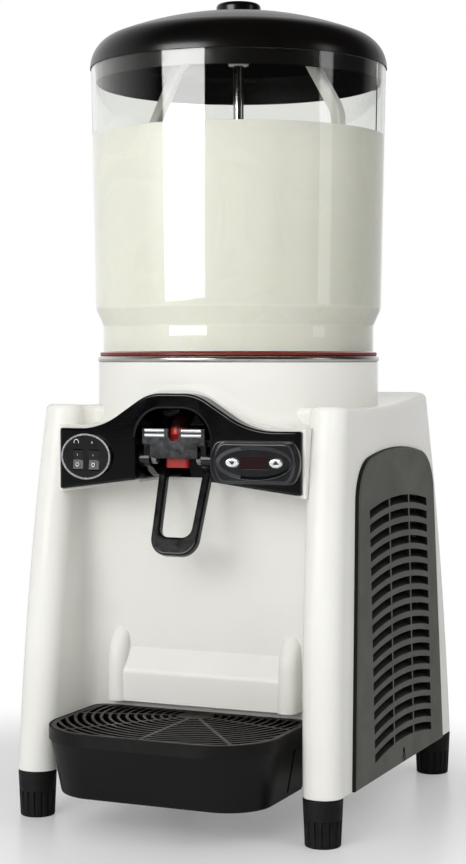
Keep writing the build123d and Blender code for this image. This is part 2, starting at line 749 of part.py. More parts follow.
# Body shell: wings, posts, front panel, brow and collar in one moulding
with BuildPart() as body_shell:
    with BuildSketch(Plane.YZ):
        side_outline()
    extrude(amount=body_width, both=True)
    with BuildSketch(Plane.XZ):
        width_outline(0)
    extrude(amount=overall_depth, both=True, mode=Mode.INTERSECT)
    add(front_recess.part, mode=Mode.SUBTRACT)
    post_edges = upright_edges(body_shell).filter_by(lambda e: e.center().Y < 0.7 * wing_toe_y)
    fillet(post_edges, (wing_thickness - post_flat) / 2)
    heel_edges = upright_edges(body_shell).filter_by(lambda e: e.center().Y > 0.7 * wing_heel_y)
    fillet(heel_edges, wing_heel_round)
    middle_y = panel_y(wing_front_height / 2)
    corner_edges = upright_edges(body_shell).filter_by(lambda e: abs(e.center().Y - middle_y) < wall)
    fillet(corner_edges, panel_corner_round)
    deck = body_shell.faces().filter_by(lambda f: f.normal_at().Z > 0.9).sort_by(Axis.Z)[-1]
    fillet(deck.outer_wire().edges(), wing_top_round)
    # Brow behind the fascia, blended into the collar
    with BuildSketch(Plane.XZ.offset(-fascia_back_y)):
        fascia_outline(brow_rim)
    extrude(amount=fascia_back_y - panel_y(fascia_leg_height) - wall)
    brow_front = body_shell.faces().filter_by(lambda f: abs(f.center().Y - fascia_back_y) < 0.01)
    fillet(brow_front.edges().filter_by(lambda e: abs(e.center().X) > fascia_half_width), brow_round)
    with BuildSketch(bowl_axis.offset(collar_top_z - collar_skirt)):
        Circle(collar_radius)
    extrude(amount=collar_skirt)
    crest_z = base_z + fascia_arch_height + brow_rim
    crest = body_shell.edges().filter_by(lambda e: abs(e.center().Z - crest_z) < 0.01)
    crest = crest.filter_by(lambda e: abs(e.center().X) < 0.1)
    fillet(crest.sort_by(Axis.Y)[-1], brow_blend)
    # Bench and ribs at the foot of the panel
    with BuildSketch(Plane.YZ):
        with BuildLine():
            Polyline(
                (panel_y(panel_edge_height) + wall / 2, rib_low_z),
                (bench_front_y, rib_low_z),
                (bench_front_y, rib_low_z + bench_front_height),
                (panel_y(panel_edge_height + bench_height) + wall / 2, rib_low_z + bench_height),
                close=True,
            )
        make_face()
        fillet(vertices().group_by(Axis.X)[0].sort_by(Axis.Y)[-1], bench_round)
    extrude(amount=bench_half_width, both=True)
    with Locations((rib_offset, 0, 0), (-rib_offset, 0, 0)):
        add(rib.part)
    # Hollows inside
    add(machine_room.part, mode=Mode.SUBTRACT)
    add(post_hollows.part, mode=Mode.SUBTRACT)
    with BuildSketch(Plane.XZ.offset(-fascia_back_y - wall)):
        upright_box(
            fascia_half_width - 2 * wall,
            base_z + fascia_leg_height,
            base_z + fascia_shoulder_height - wall,
        )
    extrude(amount=fascia_back_y - panel_y(wing_front_height) - wall, mode=Mode.SUBTRACT)
    with BuildSketch(bowl_axis.offset(collar_top_z - collar_skirt)):
        Circle(collar_bore)
    extrude(amount=collar_skirt, mode=Mode.SUBTRACT)
    with BuildSketch(bowl_axis.offset(ledge_top_z - wall)):
        Circle(collar_bore + wall / 2)
        Circle(collar_bore - ledge_width, mode=Mode.SUBTRACT)
    extrude(amount=wall)
    with BuildSketch(Plane.XZ.offset(wall - fascia_back_y)):
        hood_outline(hood_wall + cover_gap)
    extrude(amount=fascia_back_y - wall - hood_back_y - cover_gap, mode=Mode.SUBTRACT)
    # Openings for the switches, thermostat, base plate, rear panel, grilles, tongues and studs
    with BuildSketch(switch_plane):
        with Locations((0, -rocker_drop)):
            Rectangle(switch_case_width + 2 * cover_gap, switch_case_length + 2 * cover_gap)
    extrude(amount=-case_depth, mode=Mode.SUBTRACT)
    with BuildSketch(thermostat_plane):
        Rectangle(case_width + 2 * cover_gap, case_height + 2 * cover_gap)
    extrude(amount=-case_depth - cover_gap, mode=Mode.SUBTRACT)
    with BuildSketch(Plane.XY.offset(base_z)):
        with Locations(base_middle):
            Rectangle(
                base_right_x - base_left_x - 2 * base_opening_inset,
                base_rear_y - base_front_y - 2 * base_opening_inset,
            )
    extrude(amount=floor_thickness, mode=Mode.SUBTRACT)
    add(rear_rebate.part, mode=Mode.SUBTRACT)
    add(rear_window.part, mode=Mode.SUBTRACT)
    add(grille_window.part, mode=Mode.SUBTRACT)
    add(mirror(grille_window.part, about=Plane.YZ, mode=Mode.PRIVATE), mode=Mode.SUBTRACT)
    with BuildSketch(Plane.XZ.offset(-panel_foot_y)):
        with Locations((0, tongue_height + tongue_thickness / 2)):
            with GridLocations(2 * tongue_offset, 0, 2, 1):
                Rectangle(tongue_width + 2 * cover_gap, tongue_thickness + 2 * cover_gap)
    extrude(amount=2 * wall, both=True, mode=Mode.SUBTRACT)
    with BuildSketch(Plane.XY.offset(base_z)):
        with Locations(*foot_places):
            Circle(stud_radius + running_gap)
    extrude(amount=stud_length + wall, mode=Mode.SUBTRACT)
    for plane in screw_planes:
        with BuildSketch(plane):
            Circle(screw_radius)
        extrude(amount=-screw_length, mode=Mode.SUBTRACT)
body_shell.part.label = "body_shell"
export_step(body_shell.part, "parts/body_shell.step")

# Fascia with the tap hood moulded on
with BuildPart() as fascia:
    with BuildSketch(Plane.XZ.offset(-fascia_back_y)):
        fascia_outline()
    extrude(amount=fascia_back_y - fascia_front_y + wall)
    with BuildSketch(Plane.XY.offset(base_z)):
        with Locations((0, fascia_bow_y)):
            Circle(fascia_bow_radius)
    extrude(amount=2 * wing_rear_height, mode=Mode.INTERSECT)
    rim = fascia.faces().sort_by(Axis.Y)[0].outer_wire().edges()
    fillet(rim.filter_by(lambda e: abs(e.center().X) > fascia_half_width - 1), fascia_end_round)
    rim = fascia.faces().sort_by(Axis.Y)[0].outer_wire().edges()
    fillet(rim.filter_by(lambda e: e.center().Z > leg_z + wall), fascia_edge_round)
    with BuildSketch(Plane.XZ.offset(wall - fascia_front_y)):
        hood_outline()
    extrude(amount=fascia_front_y - 2 * wall - fascia_back_y, mode=Mode.SUBTRACT)
    lip = fascia.edges().filter_by(lambda e: abs(e.center().X) < hood_half_width + 1)
    lip = lip.filter_by(lambda e: e.center().Y < fascia_front_y + hood_lip_round)
    lip = lip.filter_by(lambda e: leg_z + 1 < e.center().Z < hood_top_z + 1)
    fillet(lip, hood_lip_round)
    sill = fascia.edges().filter_by(lambda e: e.center().Z < leg_z + 1)
    sill = sill.filter_by(lambda e: e.center().Y < fascia_back_y - fascia_edge_round)
    sill = sill.filter_by(lambda e: e.length > wing_thickness)
    fillet(sill, fascia_edge_round)
    with BuildSketch(Plane.XZ.offset(-fascia_back_y)):
        hood_outline(hood_wall, leg_z)
    extrude(amount=fascia_back_y - hood_back_y)
    with BuildSketch(Plane.XZ.offset(-fascia_back_y)):
        hood_outline()
    extrude(amount=fascia_back_y - hood_back_y + hood_wall, mode=Mode.SUBTRACT)
    # Pin holes, tube hole, pockets and openings for the switches and the thermostat
    with BuildSketch(Plane.YZ):
        with Locations((tap_y, tap_z)):
            Circle(lever_pin_radius)
    extrude(amount=hood_half_width + hood_wall, both=True, mode=Mode.SUBTRACT)
    with BuildSketch(Plane.XY.offset(hood_top_z - 1)):
        with Locations((0, spout_y)):
            Circle(tube_outer_radius + cover_gap)
    extrude(amount=wall, mode=Mode.SUBTRACT)
    with BuildSketch(switch_plane.offset(-switch_seat)):
        Ellipse(switch_plate_width / 2 + cover_gap, switch_plate_height / 2 + cover_gap)
    extrude(amount=wall, mode=Mode.SUBTRACT)
    with BuildSketch(switch_plane):
        with Locations((0, -rocker_drop)):
            Rectangle(switch_case_width + 2 * cover_gap, switch_case_length + 2 * cover_gap)
    extrude(amount=-case_depth, mode=Mode.SUBTRACT)
    with BuildSketch(thermostat_plane.offset(-bezel_seat)):
        bezel_outline(-cover_gap, -cover_gap)
    extrude(amount=wall, mode=Mode.SUBTRACT)
    with BuildSketch(thermostat_plane):
        Rectangle(case_width + 2 * cover_gap, case_height + 2 * cover_gap)
    extrude(amount=-case_depth, mode=Mode.SUBTRACT)
fascia.part.label = "fascia"
export_step(fascia.part, "parts/fascia.step")


def rocker_places():
    return [(x, -rocker_drop) for x in (-rocker_spacing / 2, rocker_spacing / 2)]


def rocker_hinge(place, tilt=0.0):
    origin = switch_plane.from_local_coords((place[0], place[1], rocker_pivot))
    hinge = Plane(origin, x_dir=switch_plane.y_dir, z_dir=switch_plane.x_dir)
    return hinge.rotated((0, 0, tilt))


# Oval switch plate and its bright ring
with BuildPart() as switch_plate:
    with BuildSketch(switch_plane.offset(-switch_seat)):
        Ellipse(switch_plate_width / 2, switch_plate_height / 2)
        with Locations(*rocker_places()):
            Rectangle(rocker_width + 2 * seat_gap, rocker_length + 2 * rocker_end_gap, mode=Mode.SUBTRACT)
    extrude(amount=switch_plate_thickness)
    for place in rocker_places():
        with BuildSketch(rocker_hinge(place)):
            Circle(rocker_axle_radius + running_gap)
        extrude(amount=rocker_width / 2 + rocker_axle_reach + seat_gap, both=True, mode=Mode.SUBTRACT)
switch_plate.part.label = "switch_plate"
export_step(switch_plate.part, "parts/switch_plate.step")

with BuildPart() as switch_ring:
    with BuildSketch(switch_plane.offset(switch_plate_thickness - switch_seat)):
        Ellipse(switch_plate_width / 2, switch_plate_height / 2)
        Ellipse(
            switch_plate_width / 2 - switch_ring_width,
            switch_plate_height / 2 - switch_ring_width,
            mode=Mode.SUBTRACT,
        )
    extrude(amount=switch_ring_rise)
switch_ring.part.label = "switch_ring"
export_step(switch_ring.part, "parts/switch_ring.step")

# Switch housings behind the plate, with their terminals
with BuildPart() as switch_housings:
    with BuildSketch(switch_plane.offset(-switch_seat)):
        with Locations((0, -rocker_drop)):
            Rectangle(switch_case_width, switch_case_length)
    extrude(amount=-switch_body_depth)
    with BuildSketch(switch_plane.offset(-switch_seat)):
        with Locations(*rocker_places()):
            Rectangle(rocker_width + 2 * seat_gap, rocker_length + 2 * rocker_end_gap)
    extrude(amount=-rocker_depth, mode=Mode.SUBTRACT)
    with BuildSketch(switch_plane.offset(-switch_seat - switch_body_depth)):
        with Locations((0, -rocker_drop)):
            with GridLocations(rocker_spacing, 2 * rocker_length / 3, 2, 2):
                Rectangle(terminal_width, terminal_sheet)
    extrude(amount=-terminal_length)
switch_housings.part.label = "switch_housings"
export_step(switch_housings.part, "parts/switch_housings.step")


# Rockers, drawn tipped to one side
def draw_rocker():
    half = rocker_length / 2
    top = rocker_depth / 2
    with BuildLine() as outline:
        Polyline(
            (-half, top),
            (0, top - rocker_dish),
            (half, top),
            (half - rocker_draft, -top),
            (rocker_draft - half, -top),
            close=True,
        )
    make_face(outline.edges())


with BuildPart() as rocker_stir:
    with BuildSketch(rocker_hinge(rocker_places()[0], rocker_tilt)):
        draw_rocker()
    extrude(amount=rocker_width / 2, both=True)
    with BuildSketch(rocker_hinge(rocker_places()[0])):
        Circle(rocker_axle_radius)
    extrude(amount=rocker_width / 2 + rocker_axle_reach, both=True)
rocker_stir.part.label = "rocker_stir"
export_step(rocker_stir.part, "parts/rocker_stir.step")

with BuildPart() as rocker_cool:
    with BuildSketch(rocker_hinge(rocker_places()[1], rocker_tilt)):
        draw_rocker()
    extrude(amount=rocker_width / 2, both=True)
    with BuildSketch(rocker_hinge(rocker_places()[1])):
        Circle(rocker_axle_radius)
    extrude(amount=rocker_width / 2 + rocker_axle_reach, both=True)
rocker_cool.part.label = "rocker_cool"
export_step(rocker_cool.part, "parts/rocker_cool.step")

# Thermostat: case with its bezel, oval face, display and two buttons
face_top = bezel_thickness - face_drop
face_bottom = face_top - face_thickness
collar_bottom = face_bottom - button_collar


def draw_button(grow=0.0, mode=Mode.ADD):
    Ellipse(button_width / 2 + grow, button_height / 2 + grow, mode=mode)


with BuildPart() as thermostat_case:
    with BuildSketch(thermostat_plane.offset(-bezel_seat)):
        bezel_outline()
    extrude(amount=bezel_seat + bezel_step)
    fillet(thermostat_case.faces().sort_by(Axis.Y)[0].outer_wire().edges(), bezel_edge_round)
    with BuildSketch(thermostat_plane.offset(bezel_step)):
        bezel_outline(bezel_step_length, bezel_step_width)
    extrude(amount=bezel_thickness - bezel_step)
    fillet(thermostat_case.faces().sort_by(Axis.Y)[0].outer_wire().edges(), bezel_edge_round)
    with BuildSketch(thermostat_plane.offset(-bezel_seat)):
        Rectangle(case_width, case_height)
    extrude(amount=bezel_seat - case_depth)
    with BuildSketch(thermostat_plane.offset(face_bottom)):
        Ellipse(face_width / 2 + running_gap, face_height / 2 + running_gap)
    extrude(amount=face_thickness, mode=Mode.SUBTRACT)
    with BuildSketch(thermostat_plane.offset(face_top)):
        Ellipse(face_width / 2 + running_gap, face_height / 2 + running_gap)
    with BuildSketch(thermostat_plane.offset(bezel_thickness)):
        Ellipse(face_width / 2 + face_slope, face_height / 2 + face_slope)
    loft(mode=Mode.SUBTRACT)
    with BuildSketch(thermostat_plane.offset(face_bottom)):
        with Locations((-button_offset, 0), (button_offset, 0)):
            draw_button(button_collar + seat_gap)
    extrude(amount=-button_collar - button_travel - seat_gap, mode=Mode.SUBTRACT)
thermostat_case.part.label = "thermostat_case"
export_step(thermostat_case.part, "parts/thermostat_case.step")

with BuildPart() as thermostat_face:
    with BuildSketch(thermostat_plane.offset(face_bottom)):
        Ellipse(face_width / 2, face_height / 2)
        with Locations((-button_offset, 0), (button_offset, 0)):
            draw_button(seat_gap, Mode.SUBTRACT)
    extrude(amount=face_thickness)
    with BuildSketch(thermostat_plane.offset(face_top)):
        Rectangle(display_width + 2 * running_gap, display_height + 2 * running_gap)
    extrude(amount=-display_thickness, mode=Mode.SUBTRACT)
thermostat_face.part.label = "thermostat_face"
export_step(thermostat_face.part, "parts/thermostat_face.step")

with BuildPart() as display_window:
    with BuildSketch(thermostat_plane.offset(face_top)):
        Rectangle(display_width, display_height)
    extrude(amount=-display_thickness)
display_window.part.label = "display_window"
export_step(display_window.part, "parts/display_window.step")

with BuildPart() as button_down:
    with BuildSketch(thermostat_plane.offset(collar_bottom)):
        with Locations((-button_offset, 0)):
            draw_button()
    extrude(amount=face_top + button_rise - collar_bottom)
    fillet(button_down.faces().sort_by(Axis.Y)[0].edges(), button_round)
    with BuildSketch(thermostat_plane.offset(collar_bottom)):
        with Locations((-button_offset, 0)):
            draw_button(button_collar)
    extrude(amount=button_collar - running_gap)
button_down.part.label = "button_down"
export_step(button_down.part, "parts/button_down.step")

with BuildPart() as button_up:
    with BuildSketch(thermostat_plane.offset(collar_bottom)):
        with Locations((button_offset, 0)):
            draw_button()
    extrude(amount=face_top + button_rise - collar_bottom)
    fillet(button_up.faces().sort_by(Axis.Y)[0].edges(), button_round)
    with BuildSketch(thermostat_plane.offset(collar_bottom)):
        with Locations((button_offset, 0)):
            draw_button(button_collar)
    extrude(amount=button_collar - running_gap)
button_up.part.label = "button_up"
export_step(button_up.part, "parts/button_up.step")

# Tap lever: two bosses on the pivot pins, side plates and the loop that the cup pushes
lever_boss_outer = hood_half_width - lever_side_gap
yoke_half = lever_boss_inner + lever_plate_width
loop_plane = Plane(
    (0, loop_top_y, base_z + loop_top_height),
    x_dir=(1, 0, 0),
    z_dir=(0, -cos(radians(lever_lean)), sin(radians(lever_lean))),
)
horn_back_y = tap_y - tube_flat_thickness / 2 + horn_back_gap
jaw_back_y = tap_y - jaw_front_gap
with BuildPart() as tap_lever:
    with BuildSketch(loop_plane):
        with BuildLine():
            Polyline(
                (-loop_half_top, yoke_high),
                (-loop_half_foot, -loop_reach),
                (loop_half_foot, -loop_reach),
                (loop_half_top, yoke_high),
                close=True,
            )
        make_face()
        fillet(vertices().group_by(Axis.Y)[0], loop_foot_round)
        with BuildSketch(mode=Mode.PRIVATE) as loop_eye:
            with BuildLine():
                Polyline(
                    (loop_bar - loop_half_top, 2 * yoke_high),
                    (loop_bar - loop_half_foot, loop_foot_bar - loop_reach),
                    (loop_half_foot - loop_bar, loop_foot_bar - loop_reach),
                    (loop_half_top - loop_bar, 2 * yoke_high),
                    close=True,
                )
            make_face()
            fillet(vertices().group_by(Axis.Y)[0], loop_foot_round - loop_bar)
        add(loop_eye.sketch, mode=Mode.SUBTRACT)
    extrude(amount=loop_thickness / 2, both=True)
    loop_rims = tap_lever.faces().filter_by(GeomType.PLANE).sort_by(SortBy.AREA)[-2:]
    fillet(loop_rims.edges(), loop_edge_round)
    with BuildSketch(loop_plane):
        for side in (-1, 1):
            with Locations((side * (yoke_half + loop_half_top - loop_bar) / 2, (yoke_low + yoke_high) / 2)):
                Rectangle(yoke_half - loop_half_top + loop_bar, yoke_high - yoke_low)
    extrude(amount=loop_thickness / 2, both=True)
    yoke_end = loop_plane.from_local_coords((0, yoke_high, -loop_thickness / 2))
    yoke_foot = loop_plane.from_local_coords((0, yoke_low, -loop_thickness / 2))
    yoke_brow = loop_plane.from_local_coords((0, yoke_low, loop_thickness / 2))
    for side in (-1, 1):
        with BuildSketch(Plane.YZ.offset(side * lever_boss_inner)):
            with BuildLine():
                Polyline(
                    (tap_y, tap_z + lever_boss_radius),
                    (yoke_end.Y, yoke_end.Z),
                    (yoke_foot.Y, yoke_foot.Z),
                    (yoke_brow.Y, yoke_brow.Z),
                    (tap_y, tap_z - lever_boss_radius),
                    close=True,
                )
            make_face()
        extrude(amount=side * lever_plate_width)
        with BuildSketch(Plane.YZ.offset(side * lever_boss_inner)):
            with Locations((tap_y, tap_z)):
                Circle(lever_boss_radius)
        extrude(amount=side * (lever_boss_outer - lever_boss_inner))
        with BuildSketch(Plane.YZ.offset(side * lever_boss_inner)):
            with Locations(((jaw_back_y + horn_back_y) / 2, tap_z + horn_height / 2)):
                Rectangle(horn_back_y - jaw_back_y, horn_height)
        extrude(amount=side * horn_width)
    with BuildSketch(Plane.YZ):
        with Locations((tap_y, tap_z)):
            Circle(lever_pin_radius + running_gap)
    extrude(amount=hood_half_width, both=True, mode=Mode.SUBTRACT)
tap_lever.part.label = "tap_lever"
export_step(tap_lever.part, "parts/tap_lever.step")

# Pinch plate on the lever's horns, with the nib that closes the tube
nib_z = tap_z + nib_height
nib_back_y = tap_y - tube_flat_thickness / 2 - seat_gap
with BuildPart() as pinch_plate:
    with BuildSketch(Plane.XZ.offset(-jaw_back_y)):
        with Locations((0, tap_z + jaw_lift + jaw_height / 2)):
            Rectangle(2 * jaw_half_width, jaw_height)
        with Locations((0, tap_z + jaw_lift + jaw_height)):
            SlotOverall(4 * jaw_notch, 2 * jaw_notch, rotation=90, mode=Mode.SUBTRACT)
        for side in (-1, 1):
            with Locations((side * jaw_half_width, tap_z + jaw_lift)):
                Rectangle(2 * lever_plate_width, 2 * (jaw_height - nib_height), mode=Mode.SUBTRACT)
    extrude(amount=jaw_thickness)
    with BuildSketch(Plane.XZ.offset(-jaw_back_y)):
        with Locations((0, nib_z)):
            Rectangle(2 * nib_half_width, nib_size)
    extrude(amount=jaw_back_y - nib_back_y)
    for rise in (jaw_height / 3, jaw_height / 2):
        for side in (-1, 1):
            with BuildSketch(Plane.YZ.offset(side * 1.5 * jaw_notch)):
                with Locations((jaw_back_y - jaw_thickness, nib_z + rise - jaw_bar_radius)):
                    Circle(jaw_bar_radius)
            extrude(amount=side * (jaw_half_width - 2 * jaw_notch))
pinch_plate.part.label = "pinch_plate"
export_step(pinch_plate.part, "parts/pinch_plate.step")

# Pivot pins, one in each wall of the hood
with BuildPart() as lever_pins:
    for side in (-1, 1):
        with BuildSketch(Plane.YZ.offset(side * lever_pin_inner)):
            with Locations((tap_y, tap_z)):
                Circle(lever_pin_radius)
        extrude(amount=side * (hood_half_width + hood_wall - lever_pin_inner))
lever_pins.part.label = "lever_pins"
export_step(lever_pins.part, "parts/lever_pins.step")

# Anvil bar behind the tube
anvil_front_y = tap_y + tube_flat_thickness / 2
with BuildPart() as pinch_anvil:
    with BuildSketch(Plane.YZ):
        with Locations((anvil_front_y + anvil_depth / 2, nib_z)):
            Rectangle(anvil_depth, anvil_height)
        fillet(vertices().group_by(Axis.X)[0], anvil_height / 3)
    extrude(amount=hood_half_width, both=True)
pinch_anvil.part.label = "pinch_anvil"
export_step(pinch_anvil.part, "parts/pinch_anvil.step")

# Silicone tube from the spout down through the pinch to its mouth
tube_bend_z = nib_z + 2 * tube_outer_radius
tube_flat_z = nib_z + anvil_height / 2 + cover_gap
tube_mouth_z = tap_z - tube_mouth_drop
spout_end_z = base_z + spout_end_height
with BuildPart() as pinch_tube:
    with BuildLine():
        tube_path = FilletPolyline(
            (0, spout_y, hood_top_z),
            (0, spout_y, spout_end_z - spout_seat),
            (0, tap_y, tube_bend_z),
            (0, tap_y, nib_z + tube_neck),
            radius=tube_bend_round,
        )
    with BuildSketch(Plane((0, spout_y, hood_top_z), x_dir=(1, 0, 0), z_dir=(0, 0, -1))):
        Circle(tube_outer_radius)
    sweep(path=tube_path)
    with BuildSketch(Plane((0, tap_y, nib_z + tube_neck))):
        Circle(tube_outer_radius)
    with BuildSketch(Plane((0, tap_y, tube_flat_z))):
        SlotOverall(tube_flat_width, tube_flat_thickness)
    loft()
    with BuildSketch(Plane((0, tap_y, tube_flat_z))):
        SlotOverall(tube_flat_width, tube_flat_thickness)
    extrude(amount=tube_mouth_z - tube_flat_z)
    with BuildSketch(Plane((0, spout_y, hood_top_z))):
        Circle(tube_bore_radius)
    extrude(amount=spout_end_z - hood_top_z - spout_seat, mode=Mode.SUBTRACT)
    with BuildSketch(Plane((0, tap_y, tube_mouth_z))):
        SlotOverall(tube_flat_width - tube_flat_thickness / 2, tube_flat_thickness / 2)
    extrude(amount=tube_mouth_drop, mode=Mode.SUBTRACT)
pinch_tube.part.label = "pinch_tube"
export_step(pinch_tube.part, "parts/pinch_tube.step")

# Torsion springs around the inner ends of the pins
spring_length = spring_turns * (spring_wire + 2 * running_gap)
with BuildPart() as lever_springs:
    for side in (-1, 1):
        near = side * (lever_boss_inner - seat_gap - spring_wire / 2 - spring_length)
        with BuildLine() as coil:
            Helix(
                spring_wire + 2 * running_gap,
                spring_length,
                spring_radius,
                center=(near, tap_y, tap_z),
                direction=(side, 0, 0),
            )
        with BuildSketch(Plane(coil.line @ 0, z_dir=coil.line % 0)):
            Circle(spring_wire / 2)
        sweep(path=coil.line, is_frenet=True)
lever_springs.part.label = "lever_springs"
export_step(lever_springs.part, "parts/lever_springs.step")


def tray_outline(side_in, front_in, rear_in):
    half = tray_half_width - side_in
    front = tray_front_y + front_in
    rear = tray_rear_y - rear_in
    with BuildLine() as outline:
        Polyline((-half, front), (half, front), (half, rear), (-half, rear), close=True)
    make_face(outline.edges())
    fillet([v for v in vertices() if v.Y < front + 1], tray_front_round - front_in)
    fillet([v for v in vertices() if v.Y > rear - 1], max(tray_rear_round - rear_in, tray_wall))


# Drip tray with sleeves for the two tongues
tray_top_z = tray_top_height
tray_floor_z = tray_top_z - tray_depth
grid_low_z = tray_top_z - grid_thickness - seat_gap
tongue_front_y = panel_foot_y - tongue_reach
with BuildPart() as drip_tray:
    with BuildSketch(Plane.XY.offset(tray_top_z - tray_rim)):
        tray_outline(0, 0, 0)
    extrude(amount=tray_rim)
    with BuildSketch(Plane.XY.offset(tray_top_z - tray_rim)):
        tray_outline(tray_wall / 2, tray_wall / 2, tray_wall / 2)
    with BuildSketch(Plane.XY.offset(tray_floor_z)):
        tray_outline(tray_side_draft, tray_front_draft, tray_wall / 2)
    loft()
    floor_edges = drip_tray.faces().sort_by(Axis.Z)[0].outer_wire().edges()
    fillet(floor_edges, tray_wall)
    with BuildSketch(Plane.XY.offset(grid_low_z)):
        tray_outline(tray_wall, tray_wall, tray_wall)
    extrude(amount=tray_rim, mode=Mode.SUBTRACT)
    with BuildSketch(Plane.XY.offset(grid_low_z)):
        tray_outline(tray_wall + grid_ledge, tray_wall + grid_ledge, tray_wall + grid_ledge)
    with BuildSketch(Plane.XY.offset(tray_floor_z + tray_wall)):
        tray_outline(tray_side_draft + tray_wall, tray_front_draft + tray_wall, tray_wall + grid_ledge)
    loft(mode=Mode.SUBTRACT)
    side_slope = atan2(tray_side_draft - tray_wall / 2, tray_depth - tray_rim)
    groove_x = tray_half_width - (tray_side_draft + tray_wall / 2) / 2
    groove_z = (tray_top_z - tray_rim + tray_floor_z) / 2
    for side in (-1, 1):
        groove_plane = Plane(
            (side * groove_x, tray_rear_y - groove_inset, groove_z),
            x_dir=(0, side, 0),
            z_dir=(side * cos(side_slope), 0, -sin(side_slope)),
        )
        with BuildSketch(groove_plane.offset(groove_depth)):
            SlotOverall(groove_length, groove_width, rotation=90)
        extrude(amount=-2 * groove_depth, mode=Mode.SUBTRACT)
        with BuildSketch(Plane.XZ.offset(-tray_rear_y + tray_wall)):
            with Locations((side * tongue_offset, tongue_height + tongue_thickness / 2)):
                Rectangle(
                    tongue_width + 2 * (seat_gap + sleeve_wall),
                    tongue_thickness + 2 * (seat_gap + sleeve_wall),
                )
        extrude(amount=tray_rear_y - tray_wall - tongue_front_y + seat_gap + sleeve_wall)
        with BuildSketch(Plane.XZ.offset(-tray_rear_y)):
            with Locations((side * tongue_offset, tongue_height + tongue_thickness / 2)):
                Rectangle(tongue_width + 2 * seat_gap, tongue_thickness + 2 * seat_gap)
        extrude(amount=tray_rear_y - tongue_front_y + seat_gap, mode=Mode.SUBTRACT)
drip_tray.part.label = "drip_tray"
export_step(drip_tray.part, "parts/drip_tray.step")

# Drip grid: rings around a hub, spokes and an outer frame
grid_inset = tray_wall + seat_gap
with BuildPart() as drip_grid:
    with BuildSketch(Plane.XY.offset(tray_top_z - grid_thickness)):
        grid_reach = sqrt((grid_hub_y - tray_front_y) ** 2 + tray_half_width**2)
        ring_count = int((grid_reach - grid_hub_radius) / grid_pitch)
        with Locations((0, grid_hub_y)):
            for number in range(ring_count, 0, -1):
                Circle(grid_hub_radius + number * grid_pitch)
                Circle(grid_hub_radius + number * grid_pitch - grid_bar, mode=Mode.SUBTRACT)
            Circle(grid_hub_radius)
        for number in range(grid_spokes):
            turn = (number - (grid_spokes - 1) / 2) * grid_spoke_angle
            with Locations(Location((0, grid_hub_y), -90 + turn)):
                Rectangle(grid_reach, grid_spoke_width, align=(Align.MIN, Align.CENTER))
        with BuildSketch(mode=Mode.PRIVATE) as grid_field:
            tray_outline(grid_inset, grid_inset, grid_inset)
        with BuildSketch(mode=Mode.PRIVATE) as grid_inside:
            tray_outline(grid_inset + grid_frame, grid_inset + grid_frame, grid_inset + grid_frame)
        add(grid_field.sketch, mode=Mode.INTERSECT)
        add(grid_field.sketch - grid_inside.sketch)
    extrude(amount=grid_thickness)
drip_grid.part.label = "drip_grid"
export_step(drip_grid.part, "parts/drip_grid.step")

# Steel support: an upright web on the base plate with two tongues
web_y = base_front_y + tongue_thickness
with BuildPart() as tray_support:
    with BuildSketch(Plane.XY.offset(base_top_z)):
        with Locations((0, web_y)):
            Rectangle(2 * tongue_offset + tongue_width, tongue_thickness)
    extrude(amount=tongue_height + tongue_thickness - base_top_z)
    with BuildSketch(Plane.XY.offset(tongue_height)):
        for side in (-1, 1):
            with Locations((side * tongue_offset, (web_y + tongue_front_y) / 2)):
                Rectangle(tongue_width, web_y - tongue_front_y)
    extrude(amount=tongue_thickness)
tray_support.part.label = "tray_support"
export_step(tray_support.part, "parts/tray_support.step")


def ring_section(inner, outer, low, high):
    with Locations(((inner + outer) / 2, (low + high) / 2)):
        Rectangle(outer - inner, high - low)


# Evaporator dish: rolled rim, wall, floor and drain spout
bead_centre = bead_radius - bead_diameter / 2
with BuildPart() as evaporator_dish:
    with BuildSketch(bowl_section):
        with Locations((bead_centre, dish_rim_z - bead_diameter / 2)):
            Circle(bead_diameter / 2)
        ring_section(dish_wall_radius - dish_sheet, bead_centre, dish_rim_z - dish_sheet, dish_rim_z)
        ring_section(dish_wall_radius - dish_sheet, dish_wall_radius, dish_floor_z, dish_rim_z)
        ring_section(seal_radius, dish_wall_radius, dish_floor_z, dish_floor_z + dish_sheet)
    revolve(axis=axis_line)
    with BuildSketch(Plane((0, spout_y, spout_end_z))):
        Circle(spout_radius)
    extrude(amount=dish_floor_z - spout_end_z)
    with BuildSketch(Plane((0, spout_y, spout_end_z))):
        Circle(spout_radius - dish_sheet)
    extrude(amount=dish_floor_z + dish_sheet - spout_end_z, mode=Mode.SUBTRACT)
evaporator_dish.part.label = "evaporator_dish"
export_step(evaporator_dish.part, "parts/evaporator_dish.step")

# Silicone gasket under the bowl
gasket_inner = dish_wall_radius - dish_sheet - seat_gap - gasket_lip
with BuildPart() as bowl_gasket:
    with BuildSketch(bowl_section):
        ring_section(gasket_inner, gasket_radius, dish_rim_z, gasket_top_z)
        ring_section(gasket_inner, gasket_inner + gasket_lip, dish_rim_z - gasket_lip_depth, dish_rim_z)
        fillet([v for v in vertices() if v.X > gasket_radius - 1], gasket_height / 3)
    revolve(axis=axis_line)
bowl_gasket.part.label = "bowl_gasket"
export_step(bowl_gasket.part, "parts/bowl_gasket.step")

